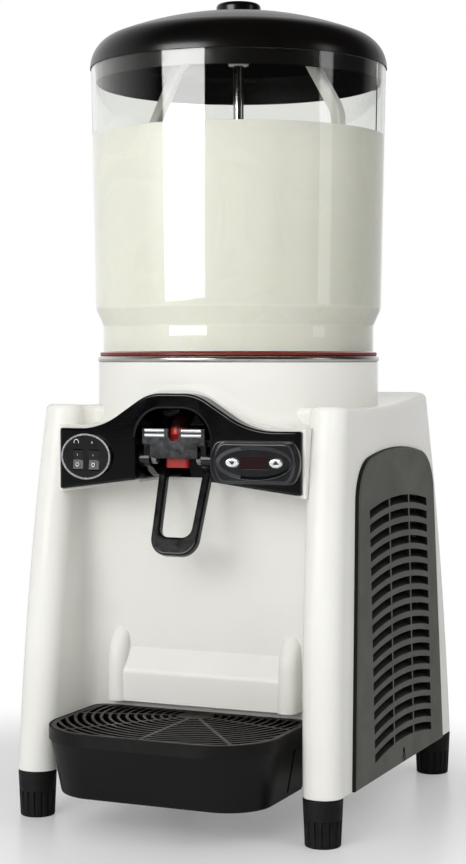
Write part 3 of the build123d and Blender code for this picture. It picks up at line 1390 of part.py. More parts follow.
# Clear bowl, open below and above
step_low_z = bowl_foot_z + bowl_neck_height
step_high_z = step_low_z + bowl_step_height
with BuildPart() as bowl:
    with BuildSketch(bowl_section):
        with BuildLine():
            outer_line = FilletPolyline(
                (bowl_neck_radius, bowl_foot_z),
                (bowl_neck_radius, step_low_z),
                (bowl_step_radius, step_high_z),
                (bowl_rim_radius, bowl_rim_z),
                radius=bowl_step_round,
            )
            inner_line = FilletPolyline(
                (bowl_neck_radius - bowl_wall, bowl_foot_z),
                (bowl_neck_radius - bowl_wall, step_low_z),
                (bowl_step_radius - bowl_wall, step_high_z),
                (bowl_rim_radius - bowl_wall, bowl_rim_z),
                radius=bowl_step_round,
            )
            Line(outer_line @ 1, inner_line @ 1)
            Line(outer_line @ 0, inner_line @ 0)
        make_face()
    revolve(axis=axis_line)
bowl.part.label = "bowl"
export_step(bowl.part, "parts/bowl.step")

# Domed lid with a locating skirt and a flat seat for the knob
crown_z = lid_rim_z + lid_crown
skirt_outer = bowl_rim_radius - bowl_wall - lid_skirt_gap
skirt_inner = skirt_outer - lid_wall


def dome_section(reach, low, top, dome, shoulder):
    edge_z = top - dome + sqrt(dome**2 - reach**2)
    with BuildLine() as outline:
        Polyline((0, top), (0, low), (reach, low), (reach, edge_z))
        RadiusArc((reach, edge_z), (0, top), -dome)
    make_face(outline.edges())
    fillet([v for v in vertices() if v.X > reach - 1 and abs(v.Y - edge_z) < 1], shoulder)


with BuildPart() as lid:
    with BuildSketch(bowl_section):
        dome_section(lid_radius, lid_rim_z, crown_z, lid_dome_radius, lid_shoulder_round)
    revolve(axis=axis_line)
    with BuildSketch(bowl_axis.offset(crown_z - lid_wall)):
        Circle(knob_radius - knob_seat_inset)
    extrude(amount=lid_wall)
    with BuildSketch(bowl_section):
        ring_section(skirt_inner, skirt_outer, lid_rim_z - lid_skirt_depth, lid_rim_z + lid_wall)
    revolve(axis=axis_line)
    with BuildSketch(bowl_section):
        dome_section(
            skirt_inner,
            lid_rim_z - lid_wall,
            crown_z - lid_wall,
            lid_dome_radius - lid_wall,
            lid_inner_round,
        )
    revolve(axis=axis_line, mode=Mode.SUBTRACT)
    with BuildSketch(bowl_axis.offset(crown_z - 2 * lid_wall)):
        Circle(knob_screw_radius)
    extrude(amount=3 * lid_wall, mode=Mode.SUBTRACT)
lid.part.label = "lid"
export_step(lid.part, "parts/lid.step")

with BuildPart() as lid_knob:
    with BuildSketch(bowl_axis.offset(crown_z)):
        Circle(knob_radius)
    extrude(amount=knob_height)
    fillet(lid_knob.faces().sort_by(Axis.Z)[-1].edges(), knob_round)
    with BuildSketch(bowl_axis.offset(crown_z)):
        Circle(knob_screw_radius)
    extrude(amount=knob_screw_depth, mode=Mode.SUBTRACT)
lid_knob.part.label = "lid_knob"
export_step(lid_knob.part, "parts/lid_knob.step")

with BuildPart() as knob_screw:
    with BuildSketch(bowl_axis.offset(crown_z - lid_wall - running_gap)):
        Circle(knob_screw_head)
    extrude(amount=-knob_screw_head_height)
    with BuildSketch(bowl_axis.offset(crown_z - lid_wall - running_gap)):
        Circle(knob_screw_radius)
    extrude(amount=lid_wall + running_gap + knob_screw_depth)
knob_screw.part.label = "knob_screw"
export_step(knob_screw.part, "parts/knob_screw.step")

# Agitator: a hub with two arms that follow the bowl, and its shaft
hub_low_z = bowl_rim_z + hub_rise
arm_top_z = hub_low_z + hub_height - agitator_bar / 2
arm_foot_z = bowl_foot_z + arm_foot_rise
arm_section = Plane(
    (0, bowl_axis_y, 0),
    x_dir=(cos(radians(agitator_azimuth)), sin(radians(agitator_azimuth)), 0),
    z_dir=(sin(radians(agitator_azimuth)), -cos(radians(agitator_azimuth)), 0),
)
with BuildPart() as agitator:
    for side in (-1, 1):
        with BuildLine(arm_section) as arm_line:
            FilletPolyline(
                (0, arm_top_z),
                (side * arm_top_reach, arm_top_z),
                (side * arm_bend_reach, arm_top_z - arm_bend_drop),
                (side * arm_foot_reach, arm_foot_z),
                radius=arm_round,
            )
        start_plane = Plane(
            arm_line.line @ 0,
            x_dir=(0, 0, 1),
            z_dir=(side * arm_section.x_dir.X, side * arm_section.x_dir.Y, 0),
        )
        with BuildSketch(start_plane):
            RectangleRounded(agitator_bar, agitator_blade, agitator_blade / 4)
        sweep(path=arm_line.line)
    with BuildSketch(bowl_axis.offset(hub_low_z)):
        Circle(hub_radius)
    extrude(amount=hub_height)
    with BuildSketch(bowl_axis.offset(hub_low_z)):
        Circle(shaft_radius)
    extrude(amount=hub_height - lid_wall, mode=Mode.SUBTRACT)
agitator.part.label = "agitator"
export_step(agitator.part, "parts/agitator.step")

shaft_low_z = ledge_top_z - gear_case_height
with BuildPart() as drive_shaft:
    with BuildSketch(bowl_axis.offset(shaft_low_z)):
        Circle(shaft_radius)
    extrude(amount=hub_low_z + hub_height - lid_wall - shaft_low_z)
drive_shaft.part.label = "drive_shaft"
export_step(drive_shaft.part, "parts/drive_shaft.step")

with BuildPart() as shaft_seal:
    with BuildSketch(bowl_section):
        seal_low = dish_floor_z - seal_height / 2
        ring_section(shaft_radius + running_gap, seal_radius, seal_low, seal_low + seal_height)
        ring_section(
            shaft_radius + running_gap,
            seal_radius + seal_flange,
            dish_floor_z + dish_sheet,
            seal_low + seal_height,
        )
    revolve(axis=axis_line)
shaft_seal.part.label = "shaft_seal"
export_step(shaft_seal.part, "parts/shaft_seal.step")

# Evaporator coil: a flat spiral under the dish's floor
coil_pitch = 2 * coil_tube_radius + wall
coil_z = dish_floor_z - coil_tube_radius
coil_outer_radius = coil_inner_radius + coil_turns * coil_pitch
with BuildPart() as evaporator_coil:
    with BuildLine(bowl_axis.offset(coil_z)) as coil_line:
        point = -coil_inner_radius
        for number in range(2 * coil_turns):
            sign = 1 if number % 2 == 0 else -1
            reach = sign * (abs(point) + coil_pitch / 2)
            RadiusArc((point, 0), (reach, 0), -(abs(point) + abs(reach)) / 2)
            point = reach
    with BuildSketch(Plane(coil_line.wire() @ 0, z_dir=coil_line.wire() % 0)):
        Circle(coil_tube_radius)
    sweep(path=coil_line.wire())
evaporator_coil.part.label = "evaporator_coil"
export_step(evaporator_coil.part, "parts/evaporator_coil.step")

coil_drop_places = [
    (-coil_inner_radius, bowl_axis_y),
    (-coil_outer_radius, bowl_axis_y),
]

# Foam under the dish, with a recess for the coil
with BuildPart() as insulation_ring:
    with BuildSketch(bowl_section):
        ring_section(foam_inner_radius, collar_bore - cover_gap, bracket_top_z, dish_floor_z)
    revolve(axis=axis_line)
    with BuildSketch(bowl_section):
        ring_section(
            coil_inner_radius - 2 * coil_tube_radius,
            coil_outer_radius + 2 * coil_tube_radius,
            dish_floor_z - foam_recess,
            dish_floor_z,
        )
    revolve(axis=axis_line, mode=Mode.SUBTRACT)
    with BuildSketch(Plane((0, spout_y, bracket_top_z))):
        Circle(spout_radius + cover_gap)
    extrude(amount=dish_floor_z - bracket_top_z, mode=Mode.SUBTRACT)
    for place in coil_drop_places:
        with BuildSketch(Plane((place[0], place[1], bracket_top_z))):
            Circle(coil_tube_radius + cover_gap)
        extrude(amount=dish_floor_z - bracket_top_z, mode=Mode.SUBTRACT)
insulation_ring.part.label = "insulation_ring"
export_step(insulation_ring.part, "parts/insulation_ring.step")

# Steel disc on the collar's ledge, with the gear motor hung below it
with BuildPart() as motor_bracket:
    with BuildSketch(bowl_axis.offset(ledge_top_z)):
        Circle(collar_bore - cover_gap)
        Circle(shaft_radius + seat_gap, mode=Mode.SUBTRACT)
        with Locations((0, spout_y - bowl_axis_y)):
            Circle(spout_radius + cover_gap, mode=Mode.SUBTRACT)
        for place in coil_drop_places:
            with Locations((place[0], place[1] - bowl_axis_y)):
                Circle(coil_tube_radius + cover_gap, mode=Mode.SUBTRACT)
    extrude(amount=bracket_thickness)
motor_bracket.part.label = "motor_bracket"
export_step(motor_bracket.part, "parts/motor_bracket.step")

with BuildPart() as gear_motor:
    with BuildSketch(bowl_axis.offset(ledge_top_z)):
        Circle(gear_motor_radius)
    extrude(amount=-gear_case_height)
    fillet(gear_motor.faces().sort_by(Axis.Z)[0].edges(), gear_case_round)
    with BuildSketch(bowl_axis.offset(ledge_top_z - gear_case_height)):
        Circle(gear_motor_core)
    extrude(amount=gear_case_height - gear_motor_height)
    with BuildSketch(bowl_axis.offset(shaft_low_z)):
        Circle(shaft_radius + running_gap)
    extrude(amount=gear_case_height, mode=Mode.SUBTRACT)
gear_motor.part.label = "gear_motor"
export_step(gear_motor.part, "parts/gear_motor.step")


# Levelling feet and their studs
feet = []
for place in foot_places:
    with BuildPart() as foot:
        with BuildSketch(Plane((place[0], place[1], 0))):
            Circle(foot_bottom_radius)
        with BuildSketch(Plane((place[0], place[1], foot_height - seat_gap))):
            Circle(foot_top_radius)
        loft()
        fillet(foot.edges().filter_by(GeomType.CIRCLE), foot_edge_round)
        with BuildSketch(Plane((place[0], place[1], foot_edge_round))):
            with PolarLocations(foot_bottom_radius + flute_radius / 2, foot_flutes):
                Circle(flute_radius)
        extrude(amount=flute_height, mode=Mode.SUBTRACT)
        with BuildSketch(Plane((place[0], place[1], foot_height / 2))):
            Circle(stud_radius)
        extrude(amount=foot_height, mode=Mode.SUBTRACT)
    feet.append(foot)
studs = []
for place in foot_places:
    with BuildPart() as stud:
        with BuildSketch(Plane((place[0], place[1], foot_height / 2))):
            Circle(stud_radius)
        extrude(amount=foot_height / 2 + stud_length)
        chamfer(stud.faces().sort_by(Axis.Z)[-1].edges(), stud_radius / 4)
    studs.append(stud)
foot_names = ["front_left", "front_right", "rear_left", "rear_right"]
for name, foot, stud in zip(foot_names, feet, studs):
    foot.part.label = "foot_" + name
    export_step(foot.part, "parts/foot_" + name + ".step")
    stud.part.label = "stud_" + name
    export_step(stud.part, "parts/stud_" + name + ".step")


# Side grilles: proud plates with arched louvres, held behind the wing's wall by a flange
def draw_louvre(low):
    reach = (louvre_columns * louvre_width + (louvre_columns - 1) * louvre_divider) / 2
    left = louvre_middle_y - reach
    right = louvre_middle_y + reach
    high = low + louvre_slot
    with BuildLine() as outline:
        SagittaArc((left, low), (right, low), louvre_arch)
        Line((right, low), (right, high))
        SagittaArc((right, high), (left, high), -louvre_arch)
        Line((left, high), (left, low))
    make_face(outline.edges())


with BuildPart() as side_grille_right:
    with BuildSketch(right_side.offset(grille_proud)):
        grille_outline()
    extrude(amount=-grille_proud - wall - seat_gap)
    fillet(side_grille_right.faces().sort_by(Axis.X)[-1].outer_wire().edges(), grille_edge_round)
    with BuildSketch(right_side.offset(-wall - seat_gap)):
        grille_outline(grille_flange)
        with Locations(((wing_toe_y + wing_heel_y) / 2, 0)):
            Rectangle(overall_depth, 2 * (floor_thickness + cover_gap), mode=Mode.SUBTRACT)
    extrude(amount=-grille_flange_thickness)
    with BuildSketch(right_side.offset(grille_proud + louvre_lead)):
        for row in range(louvre_rows):
            draw_louvre(louvre_base + row * louvre_pitch)
        with Locations((louvre_middle_y, grille_height / 2)):
            with GridLocations(louvre_width + louvre_divider, 0, louvre_columns - 1, 1):
                Rectangle(louvre_divider, grille_height, mode=Mode.SUBTRACT)
        with BuildSketch(mode=Mode.PRIVATE) as louvre_field:
            grille_outline(-louvre_edge)
        add(louvre_field.sketch, mode=Mode.INTERSECT)
    tilt = radians(louvre_tilt)
    inward = -right_side.z_dir * cos(tilt) + right_side.y_dir * sin(tilt)
    cut_depth = louvre_lead + grille_proud + wall + seat_gap + 2 * grille_flange_thickness
    extrude(amount=cut_depth / cos(tilt), dir=inward, mode=Mode.SUBTRACT)
    with BuildSketch(right_side.offset(grille_proud)):
        with Locations((grille_screw_y, grille_screw_height)):
            Circle(screw_head_radius + seat_gap)
    extrude(amount=-screw_head, mode=Mode.SUBTRACT)
    with BuildSketch(right_side.offset(grille_proud)):
        with Locations((grille_screw_y, grille_screw_height + keyhole_rise)):
            Circle(keyhole_width / 2)
        with Locations((grille_screw_y, grille_screw_height + keyhole_rise / 2)):
            Rectangle(keyhole_width, keyhole_rise)
    extrude(amount=-screw_head, mode=Mode.SUBTRACT)
    with BuildSketch(right_side.offset(grille_proud)):
        with Locations((grille_screw_y, grille_screw_height)):
            Circle(screw_radius)
    extrude(amount=-grille_proud - 2 * wall, mode=Mode.SUBTRACT)
side_grille_right.part.label = "side_grille_right"
export_step(side_grille_right.part, "parts/side_grille_right.step")

with BuildPart() as side_grille_left:
    mirror(side_grille_right.part, about=Plane.YZ)
side_grille_left.part.label = "side_grille_left"
export_step(side_grille_left.part, "parts/side_grille_left.step")

# Rear panel: a curved sheet with vent slots, its screws and the cord gland
gland_plane = rear_plane(gland_x, base_z + gland_height, panel_setback)
with BuildPart() as rear_panel:
    with BuildSketch(Plane.YZ):
        rear_band(panel_setback, panel_setback + panel_sheet)
    extrude(amount=panel_half_width - cover_gap, both=True)
    with BuildSketch(Plane.XZ):
        upright_box(panel_half_width - cover_gap, panel_low_z + cover_gap, panel_high_z - cover_gap)
    extrude(amount=overall_depth, both=True, mode=Mode.INTERSECT)
    with BuildSketch(Plane.XZ):
        for row in range(vent_rows):
            vent_z = (panel_low_z + panel_high_z) / 2 + (row - (vent_rows - 1) / 2 + 1) * vent_pitch
            with Locations((0, vent_z)):
                SlotOverall(2 * vent_half_width, vent_slot)
    extrude(amount=-overall_depth, mode=Mode.SUBTRACT)
    for plane in rear_screw_planes:
        with BuildSketch(plane):
            Circle(screw_radius)
        extrude(amount=panel_sheet * 2, both=True, mode=Mode.SUBTRACT)
    with BuildSketch(gland_plane):
        Circle(gland_radius)
    extrude(amount=panel_sheet * 2, both=True, mode=Mode.SUBTRACT)
rear_panel.part.label = "rear_panel"
export_step(rear_panel.part, "parts/rear_panel.step")

with BuildPart() as cord_gland:
    with BuildSketch(gland_plane):
        Circle(gland_radius + gland_flange)
    extrude(amount=gland_flange)
    with BuildSketch(gland_plane):
        Circle(gland_radius)
    extrude(amount=-gland_depth)
    with BuildSketch(gland_plane):
        Circle(gland_bore)
    extrude(amount=gland_depth, both=True, mode=Mode.SUBTRACT)
cord_gland.part.label = "cord_gland"
export_step(cord_gland.part, "parts/cord_gland.step")

# Base plate that carries the refrigeration set
with BuildPart() as base_plate:
    with BuildSketch(Plane.XY.offset(base_z + floor_thickness)):
        with Locations(base_middle):
            Rectangle(base_right_x - base_left_x, base_rear_y - base_front_y)
        with Locations(*base_screw_places):
            Circle(screw_radius, mode=Mode.SUBTRACT)
    extrude(amount=base_sheet)
base_plate.part.label = "base_plate"
export_step(base_plate.part, "parts/base_plate.step")

# Screws of the rear panel, the grilles and the base plate
with BuildPart() as case_screws:
    for plane in screw_planes:
        with BuildSketch(plane):
            Circle(screw_head_radius)
        extrude(amount=screw_head)
        with BuildSketch(plane):
            Circle(screw_radius)
        extrude(amount=-screw_length)
case_screws.part.label = "case_screws"
export_step(case_screws.part, "parts/case_screws.step")

# Compressor on four rubber mounts
compressor_foot_z = base_top_z + mount_height
compressor_low_z = compressor_foot_z + compressor_foot_sheet
compressor_top_z = compressor_low_z + compressor_height
compressor_axis = Plane((compressor_x, compressor_y, 0))
with BuildPart() as compressor:
    with BuildSketch(compressor_axis.offset(compressor_low_z)):
        Circle(compressor_radius)
    extrude(amount=compressor_height)
    fillet(compressor.faces().sort_by(Axis.Z)[-1].edges(), compressor_top_round)
    fillet(compressor.faces().sort_by(Axis.Z)[0].edges(), compressor_low_round)
    with BuildSketch(compressor_axis.offset(compressor_foot_z)):
        RectangleRounded(compressor_foot, compressor_foot, mount_radius)
    extrude(amount=compressor_foot_sheet)
compressor.part.label = "compressor"
export_step(compressor.part, "parts/compressor.step")

with BuildPart() as compressor_mounts:
    with BuildSketch(compressor_axis.offset(base_top_z)):
        with GridLocations(mount_spacing, mount_spacing, 2, 2):
            Circle(mount_radius)
    extrude(amount=mount_height)
compressor_mounts.part.label = "compressor_mounts"
export_step(compressor_mounts.part, "parts/compressor_mounts.step")

with BuildPart() as terminal_box:
    with BuildSketch(compressor_axis.offset(compressor_low_z + compressor_height / 2)):
        with Locations((0, -compressor_radius)):
            RectangleRounded(terminal_box_width, terminal_box_depth, wall)
    extrude(amount=terminal_box_height / 2, both=True)
    with BuildSketch(compressor_axis.offset(compressor_low_z)):
        Circle(compressor_radius)
    extrude(amount=compressor_height, mode=Mode.SUBTRACT)
terminal_box.part.label = "terminal_box"
export_step(terminal_box.part, "parts/terminal_box.step")

# Condenser: finned block with a copper serpentine on its outer side
condenser_low_z = base_top_z + condenser_lift
condenser_outer_x = condenser_x + condenser_thickness
with BuildPart() as condenser_fins:
    with BuildSketch(Plane.XY.offset(condenser_low_z)):
        with Locations((condenser_x + condenser_thickness / 2, condenser_y)):
            Rectangle(condenser_thickness, condenser_depth)
    extrude(amount=condenser_height)
    fin_count = int(condenser_depth / fin_pitch) - 1
    with BuildSketch(Plane.XY.offset(condenser_low_z)):
        with Locations((condenser_outer_x - condenser_thickness / 2, condenser_y)):
            with GridLocations(0, fin_pitch, 1, fin_count):
                Rectangle(condenser_thickness, fin_gap, align=(Align.MIN, Align.CENTER))
    extrude(amount=condenser_height, mode=Mode.SUBTRACT)
    with BuildSketch(Plane.XY.offset(base_top_z)):
        with Locations((condenser_x + condenser_thickness / 4, condenser_y)):
            with GridLocations(0, 2 * condenser_depth / 3, 1, 2):
                Rectangle(condenser_thickness / 2, condenser_lift)
    extrude(amount=condenser_lift)
condenser_fins.part.label = "condenser_fins"
export_step(condenser_fins.part, "parts/condenser_fins.step")

pipe_x = condenser_outer_x + pipe_radius
row_pitch = (condenser_height - 2 * condenser_lift) / (pipe_rows - 1)
serpentine = []
for row in range(pipe_rows):
    row_z = condenser_low_z + condenser_lift + row * row_pitch
    ends = [
        (pipe_x, condenser_y - condenser_depth / 2, row_z),
        (pipe_x, condenser_y + condenser_depth / 2, row_z),
    ]
    serpentine += ends if row % 2 == 0 else ends[::-1]
with BuildPart() as condenser_tube:
    with BuildLine() as serpentine_line:
        FilletPolyline(*serpentine, radius=0.45 * row_pitch)
    with BuildSketch(Plane(serpentine_line.line @ 0, z_dir=serpentine_line.line % 0)):
        Circle(pipe_radius)
    sweep(path=serpentine_line.line)
condenser_tube.part.label = "condenser_tube"
export_step(condenser_tube.part, "parts/condenser_tube.step")

# Fan, motor and shroud behind the condenser
fan_z = condenser_low_z + condenser_height / 2
shroud_x = condenser_x - shroud_thickness
fan_x = shroud_x - fan_gap - fan_depth
fan_motor_x = fan_x - fan_gap - fan_motor_length
with BuildPart() as fan_shroud:
    with BuildSketch(Plane.YZ.offset(shroud_x)):
        with Locations((condenser_y, fan_z)):
            Rectangle(condenser_depth, condenser_height)
            Circle(fan_radius + fan_clearance, mode=Mode.SUBTRACT)
    extrude(amount=shroud_thickness)
fan_shroud.part.label = "fan_shroud"
export_step(fan_shroud.part, "parts/fan_shroud.step")

with BuildPart() as fan_motor:
    with BuildSketch(Plane.YZ.offset(fan_motor_x)):
        with Locations((condenser_y, fan_z)):
            Circle(fan_motor_radius)
    extrude(amount=fan_motor_length)
    with BuildSketch(Plane.XY.offset(base_top_z)):
        with Locations((fan_motor_x + fan_motor_length / 2, condenser_y)):
            Rectangle(fan_motor_length / 2, fan_post_width)
    extrude(amount=fan_z - base_top_z)
    with BuildSketch(Plane.YZ.offset(fan_motor_x)):
        with Locations((condenser_y, fan_z)):
            Circle(fan_shaft_radius + running_gap)
    extrude(amount=fan_motor_length, mode=Mode.SUBTRACT)
fan_motor.part.label = "fan_motor"
export_step(fan_motor.part, "parts/fan_motor.step")

with BuildPart() as fan_blade:
    with BuildSketch(Plane.YZ.offset(fan_x)):
        with Locations((condenser_y, fan_z)):
            Circle(fan_hub_radius)
    extrude(amount=fan_depth)
    for number in range(fan_blades):
        turn = radians(360 * number / fan_blades)
        out = Vector(0, cos(turn), sin(turn))
        along = Vector(0, -sin(turn), cos(turn)) * cos(radians(fan_blade_angle))
        along = along + Vector(1, 0, 0) * sin(radians(fan_blade_angle))
        root = Vector(fan_x + fan_depth / 2, condenser_y, fan_z) + out * (fan_hub_radius - fan_root)
        with BuildSketch(Plane(root, x_dir=along, z_dir=out)):
            Rectangle(fan_blade_width, fan_blade_thickness)
        extrude(amount=fan_radius - fan_hub_radius - 2 * fan_root)
    with BuildSketch(Plane.YZ.offset(fan_x)):
        with Locations((condenser_y, fan_z)):
            Circle(fan_shaft_radius)
    extrude(amount=-fan_gap - fan_motor_length / 2)
fan_blade.part.label = "fan_blade"
export_step(fan_blade.part, "parts/fan_blade.step")

# Filter drier and the pipes of the cooling circuit
with BuildPart() as filter_drier:
    with BuildSketch(Plane((drier_x, drier_y, drier_z))):
        Circle(drier_radius)
    extrude(amount=drier_length)
    fillet(filter_drier.edges(), drier_radius / 2)
filter_drier.part.label = "filter_drier"
export_step(filter_drier.part, "parts/filter_drier.step")

row_low_z = condenser_low_z + condenser_lift
row_high_z = row_low_z + (pipe_rows - 1) * row_pitch
pipe_front_y = condenser_y - condenser_depth / 2
pipe_turn_y = pipe_front_y - 2.5 * pipe_bend
tap_off_x = compressor_radius / 3
over_z = max(compressor_top_z, condenser_low_z + condenser_height) + 2 * pipe_bend
coil_foot_z = coil_z - coil_tube_radius
cross_z = ledge_top_z - gear_motor_height - 2 * pipe_bend
discharge_route = [
    (compressor_x + tap_off_x, compressor_y, compressor_top_z),
    (compressor_x + tap_off_x, compressor_y, over_z),
    (pipe_x, compressor_y, over_z),
    (pipe_x, pipe_turn_y, over_z),
    (pipe_x, pipe_turn_y, row_high_z),
    (pipe_x, pipe_front_y, row_high_z),
]
liquid_route = [
    (pipe_x, pipe_front_y, row_low_z),
    (pipe_x, drier_y, row_low_z),
    (drier_x, drier_y, row_low_z),
    (drier_x, drier_y, drier_z),
]
capillary_route = [
    (drier_x, drier_y, drier_z + drier_length),
    (drier_x, drier_y, cross_z),
    (-coil_inner_radius, drier_y, cross_z),
    (-coil_inner_radius, bowl_axis_y, cross_z),
    (-coil_inner_radius, bowl_axis_y, coil_foot_z),
]
suction_route = [
    (-coil_outer_radius, bowl_axis_y, coil_foot_z),
    (-coil_outer_radius, bowl_axis_y, over_z),
    (compressor_x - tap_off_x, compressor_y, over_z),
    (compressor_x - tap_off_x, compressor_y, compressor_top_z),
]
with BuildPart() as cooling_pipes:
    for route, radius in [
        (discharge_route, pipe_radius),
        (liquid_route, pipe_radius),
        (capillary_route, capillary_radius),
        (suction_route, pipe_radius),
    ]:
        with BuildLine() as pipe_line:
            FilletPolyline(*route, radius=pipe_bend)
        with BuildSketch(Plane(pipe_line.line @ 0, z_dir=pipe_line.line % 0)):
            Circle(radius)
        sweep(path=pipe_line.line)
cooling_pipes.part.label = "cooling_pipes"
export_step(cooling_pipes.part, "parts/cooling_pipes.step")
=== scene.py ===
from math import asin, cos, radians, sin

import bmesh
import bpy
from mathutils import Matrix, Vector


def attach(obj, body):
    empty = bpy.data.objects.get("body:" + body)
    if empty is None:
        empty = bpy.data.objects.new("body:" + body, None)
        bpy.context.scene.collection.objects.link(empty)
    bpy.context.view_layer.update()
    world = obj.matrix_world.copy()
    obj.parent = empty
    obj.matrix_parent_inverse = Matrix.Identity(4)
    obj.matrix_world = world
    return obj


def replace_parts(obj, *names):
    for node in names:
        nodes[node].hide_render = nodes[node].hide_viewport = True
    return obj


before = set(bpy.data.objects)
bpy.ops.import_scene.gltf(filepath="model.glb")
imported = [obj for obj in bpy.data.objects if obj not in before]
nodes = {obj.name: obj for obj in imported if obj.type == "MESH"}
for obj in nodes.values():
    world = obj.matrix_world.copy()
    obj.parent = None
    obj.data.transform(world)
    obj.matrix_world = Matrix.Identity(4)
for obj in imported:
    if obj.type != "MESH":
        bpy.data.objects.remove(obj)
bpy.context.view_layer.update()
mm = 0.001

scene = bpy.context.scene
scene.view_settings.view_transform = "Standard"


# colour, size and node helpers

def linear(hexCode):
    shares = [int(hexCode[i:i + 2], 16) / 255 for i in (1, 3, 5)]
    return (*[s / 12.92 if s <= 0.04045 else ((s + 0.055) / 1.055) ** 2.4 for s in shares], 1.0)


def perMetre(sizeMm):
    return 1000.0 / sizeMm  # pattern scale from the real size of one feature


def addNode(tree, kind, settings=None, links=None):
    node = tree.nodes.new(kind)
    for key, value in (settings or {}).items():
        if isinstance(key, int) or key in node.inputs:
            node.inputs[key].default_value = value
        else:
            setattr(node, key, value)
    for key, source in (links or {}).items():
        tree.links.new(source, node.inputs[key])
    return node


colourA, colourB, colourOut = 6, 7, 2  # sockets of a Mix node that blends colours
numberA, numberB = 2, 3  # and of one that blends numbers


def startFinish(name):
    material = bpy.data.materials.new(name)
    material.use_nodes = True
    material.node_tree.nodes.clear()
    place = addNode(material.node_tree, "ShaderNodeTexCoord").outputs["Object"]
    return material, material.node_tree, place


def dress(material, *names):
    for name in names:
        for slot in nodes[name].material_slots:
            slot.material = material


# camera: the photograph's own viewpoint

viewpoint = {
    "place": (0.6951, -1.5953, 0.416), "heading": 23.53, "pitch": 2.29,
    "lens": 77.35, "film": 36.0, "farthest": 50,
}
bpy.ops.object.camera_add(
    location=viewpoint["place"],
    rotation=(radians(90 - viewpoint["pitch"]), 0, radians(viewpoint["heading"])),
)
camera = bpy.context.object
camera.name = "photoCamera"
camera.data.sensor_fit = "VERTICAL"
camera.data.sensor_height = viewpoint["film"]
camera.data.lens = viewpoint["lens"]
camera.data.clip_end = viewpoint["farthest"]
scene.camera = camera


# studio: pale room, white behind the object, softboxes in front and strips that only mirror

room = {
    "ambient": 0.54, "front": 0.03, "behind": 1.0, "back": (-0.7, 0.65, -0.55),
    "turnFrom": -0.1, "turnTo": 0.75,
}
world = bpy.data.worlds.new("studioRoom")
scene.world = world
world.use_nodes = True
tree = world.node_tree
tree.nodes.clear()
ray = addNode(tree, "ShaderNodeLightPath")
facing = addNode(tree, "ShaderNodeTexCoord")
towardsBack = addNode(
    tree, "ShaderNodeVectorMath", {"operation": "DOT_PRODUCT", 1: room["back"]},
    {0: facing.outputs["Generated"]},
)
seenInGloss = addNode(
    tree, "ShaderNodeMapRange",
    {"From Min": room["turnFrom"], "From Max": room["turnTo"],
     "To Min": room["front"], "To Max": room["behind"]},
    {"Value": towardsBack.outputs["Value"]},
)
undiffused = addNode(
    tree, "ShaderNodeMath", {"operation": "LESS_THAN", 1: 0.5}, {0: ray.outputs["Diffuse Depth"]}
)
clearRay = addNode(
    tree, "ShaderNodeMath", {"operation": "MULTIPLY"},
    {0: ray.outputs["Is Transmission Ray"], 1: undiffused.outputs[0]},
)  # what is seen through the bowl: the white behind never lights a surface through it
mirrored = addNode(
    tree, "ShaderNodeMath", {"operation": "MAXIMUM"},
    {0: ray.outputs["Is Glossy Ray"], 1: clearRay.outputs[0]},
)
soft = addNode(
    tree, "ShaderNodeMix", {numberA: room["ambient"]},
    {0: mirrored.outputs[0], numberB: seenInGloss.outputs["Result"]},
)
level = addNode(
    tree, "ShaderNodeMix", {numberB: 1.0},
    {0: ray.outputs["Is Camera Ray"], numberA: soft.outputs[0]},
)  # the camera itself sees plain white
sky = addNode(
    tree, "ShaderNodeBackground", {"Color": (1, 1, 1, 1)}, {"Strength": level.outputs[0]}
)
addNode(tree, "ShaderNodeOutputWorld", None, {"Surface": sky.outputs[0]})

softboxes = [
    {"name": "keySoftbox", "place": (-0.60, -2.10, 0.97), "aim": (0, 0, 0.55),
     "size": (1.1, 0.95), "power": 12.5, "mirrorOnly": False},
    {"name": "frontHigh", "place": (0.3, -2.4, 1.4), "aim": (0, 0, 0.35),
     "size": (2.2, 1.6), "power": 21, "mirrorOnly": False},
    {"name": "fillSoftbox", "place": (1.6, -0.5, 1.5), "aim": (0, 0, 0.5),
     "size": (0.9, 1.0), "power": 7, "mirrorOnly": False},
    {"name": "keyStrip", "place": (-0.695, -2.066, 0.96), "aim": (0, 0, 0.75),
     "size": (1.32, 1.0), "power": 36, "mirrorOnly": True},
    {"name": "fillStrip", "place": (1.5, 0.05, 0.85), "aim": (0, 0.014, 0.82),
     "size": (0.30, 0.8), "power": 1.4, "mirrorOnly": True},
]
for box in softboxes:
    bpy.ops.object.light_add(type="AREA", location=box["place"])
    lamp = bpy.context.object
    lamp.name = box["name"]
    outward = Vector(box["place"]) - Vector(box["aim"])
    lamp.rotation_euler = outward.to_track_quat("Z", "Y").to_euler()
    lamp.data.shape = "RECTANGLE"
    lamp.data.size, lamp.data.size_y = box["size"]
    lamp.data.energy = box["power"]
    lamp.visible_camera = False
    lamp.visible_glossy = box["mirrorOnly"]
    lamp.visible_transmission = box["mirrorOnly"]  # else the bowl's inner wall shows it as haze
    lamp.visible_diffuse = not box["mirrorOnly"]

floorPlan = {
    "radius": 9.0, "sides": 96, "colour": "#F1F1F2", "rough": 0.30, "mirror": 0.3,
    "middle": (-0.06, -0.02, 0.0), "clearFrom": 0.27, "clearTo": 0.52, "haze": 0.2,
}
bpy.ops.mesh.primitive_circle_add(
    vertices=floorPlan["sides"], radius=floorPlan["radius"], fill_type="NGON", location=(0, 0, 0)
)
floor = bpy.context.object
floor.name = "studioFloor"
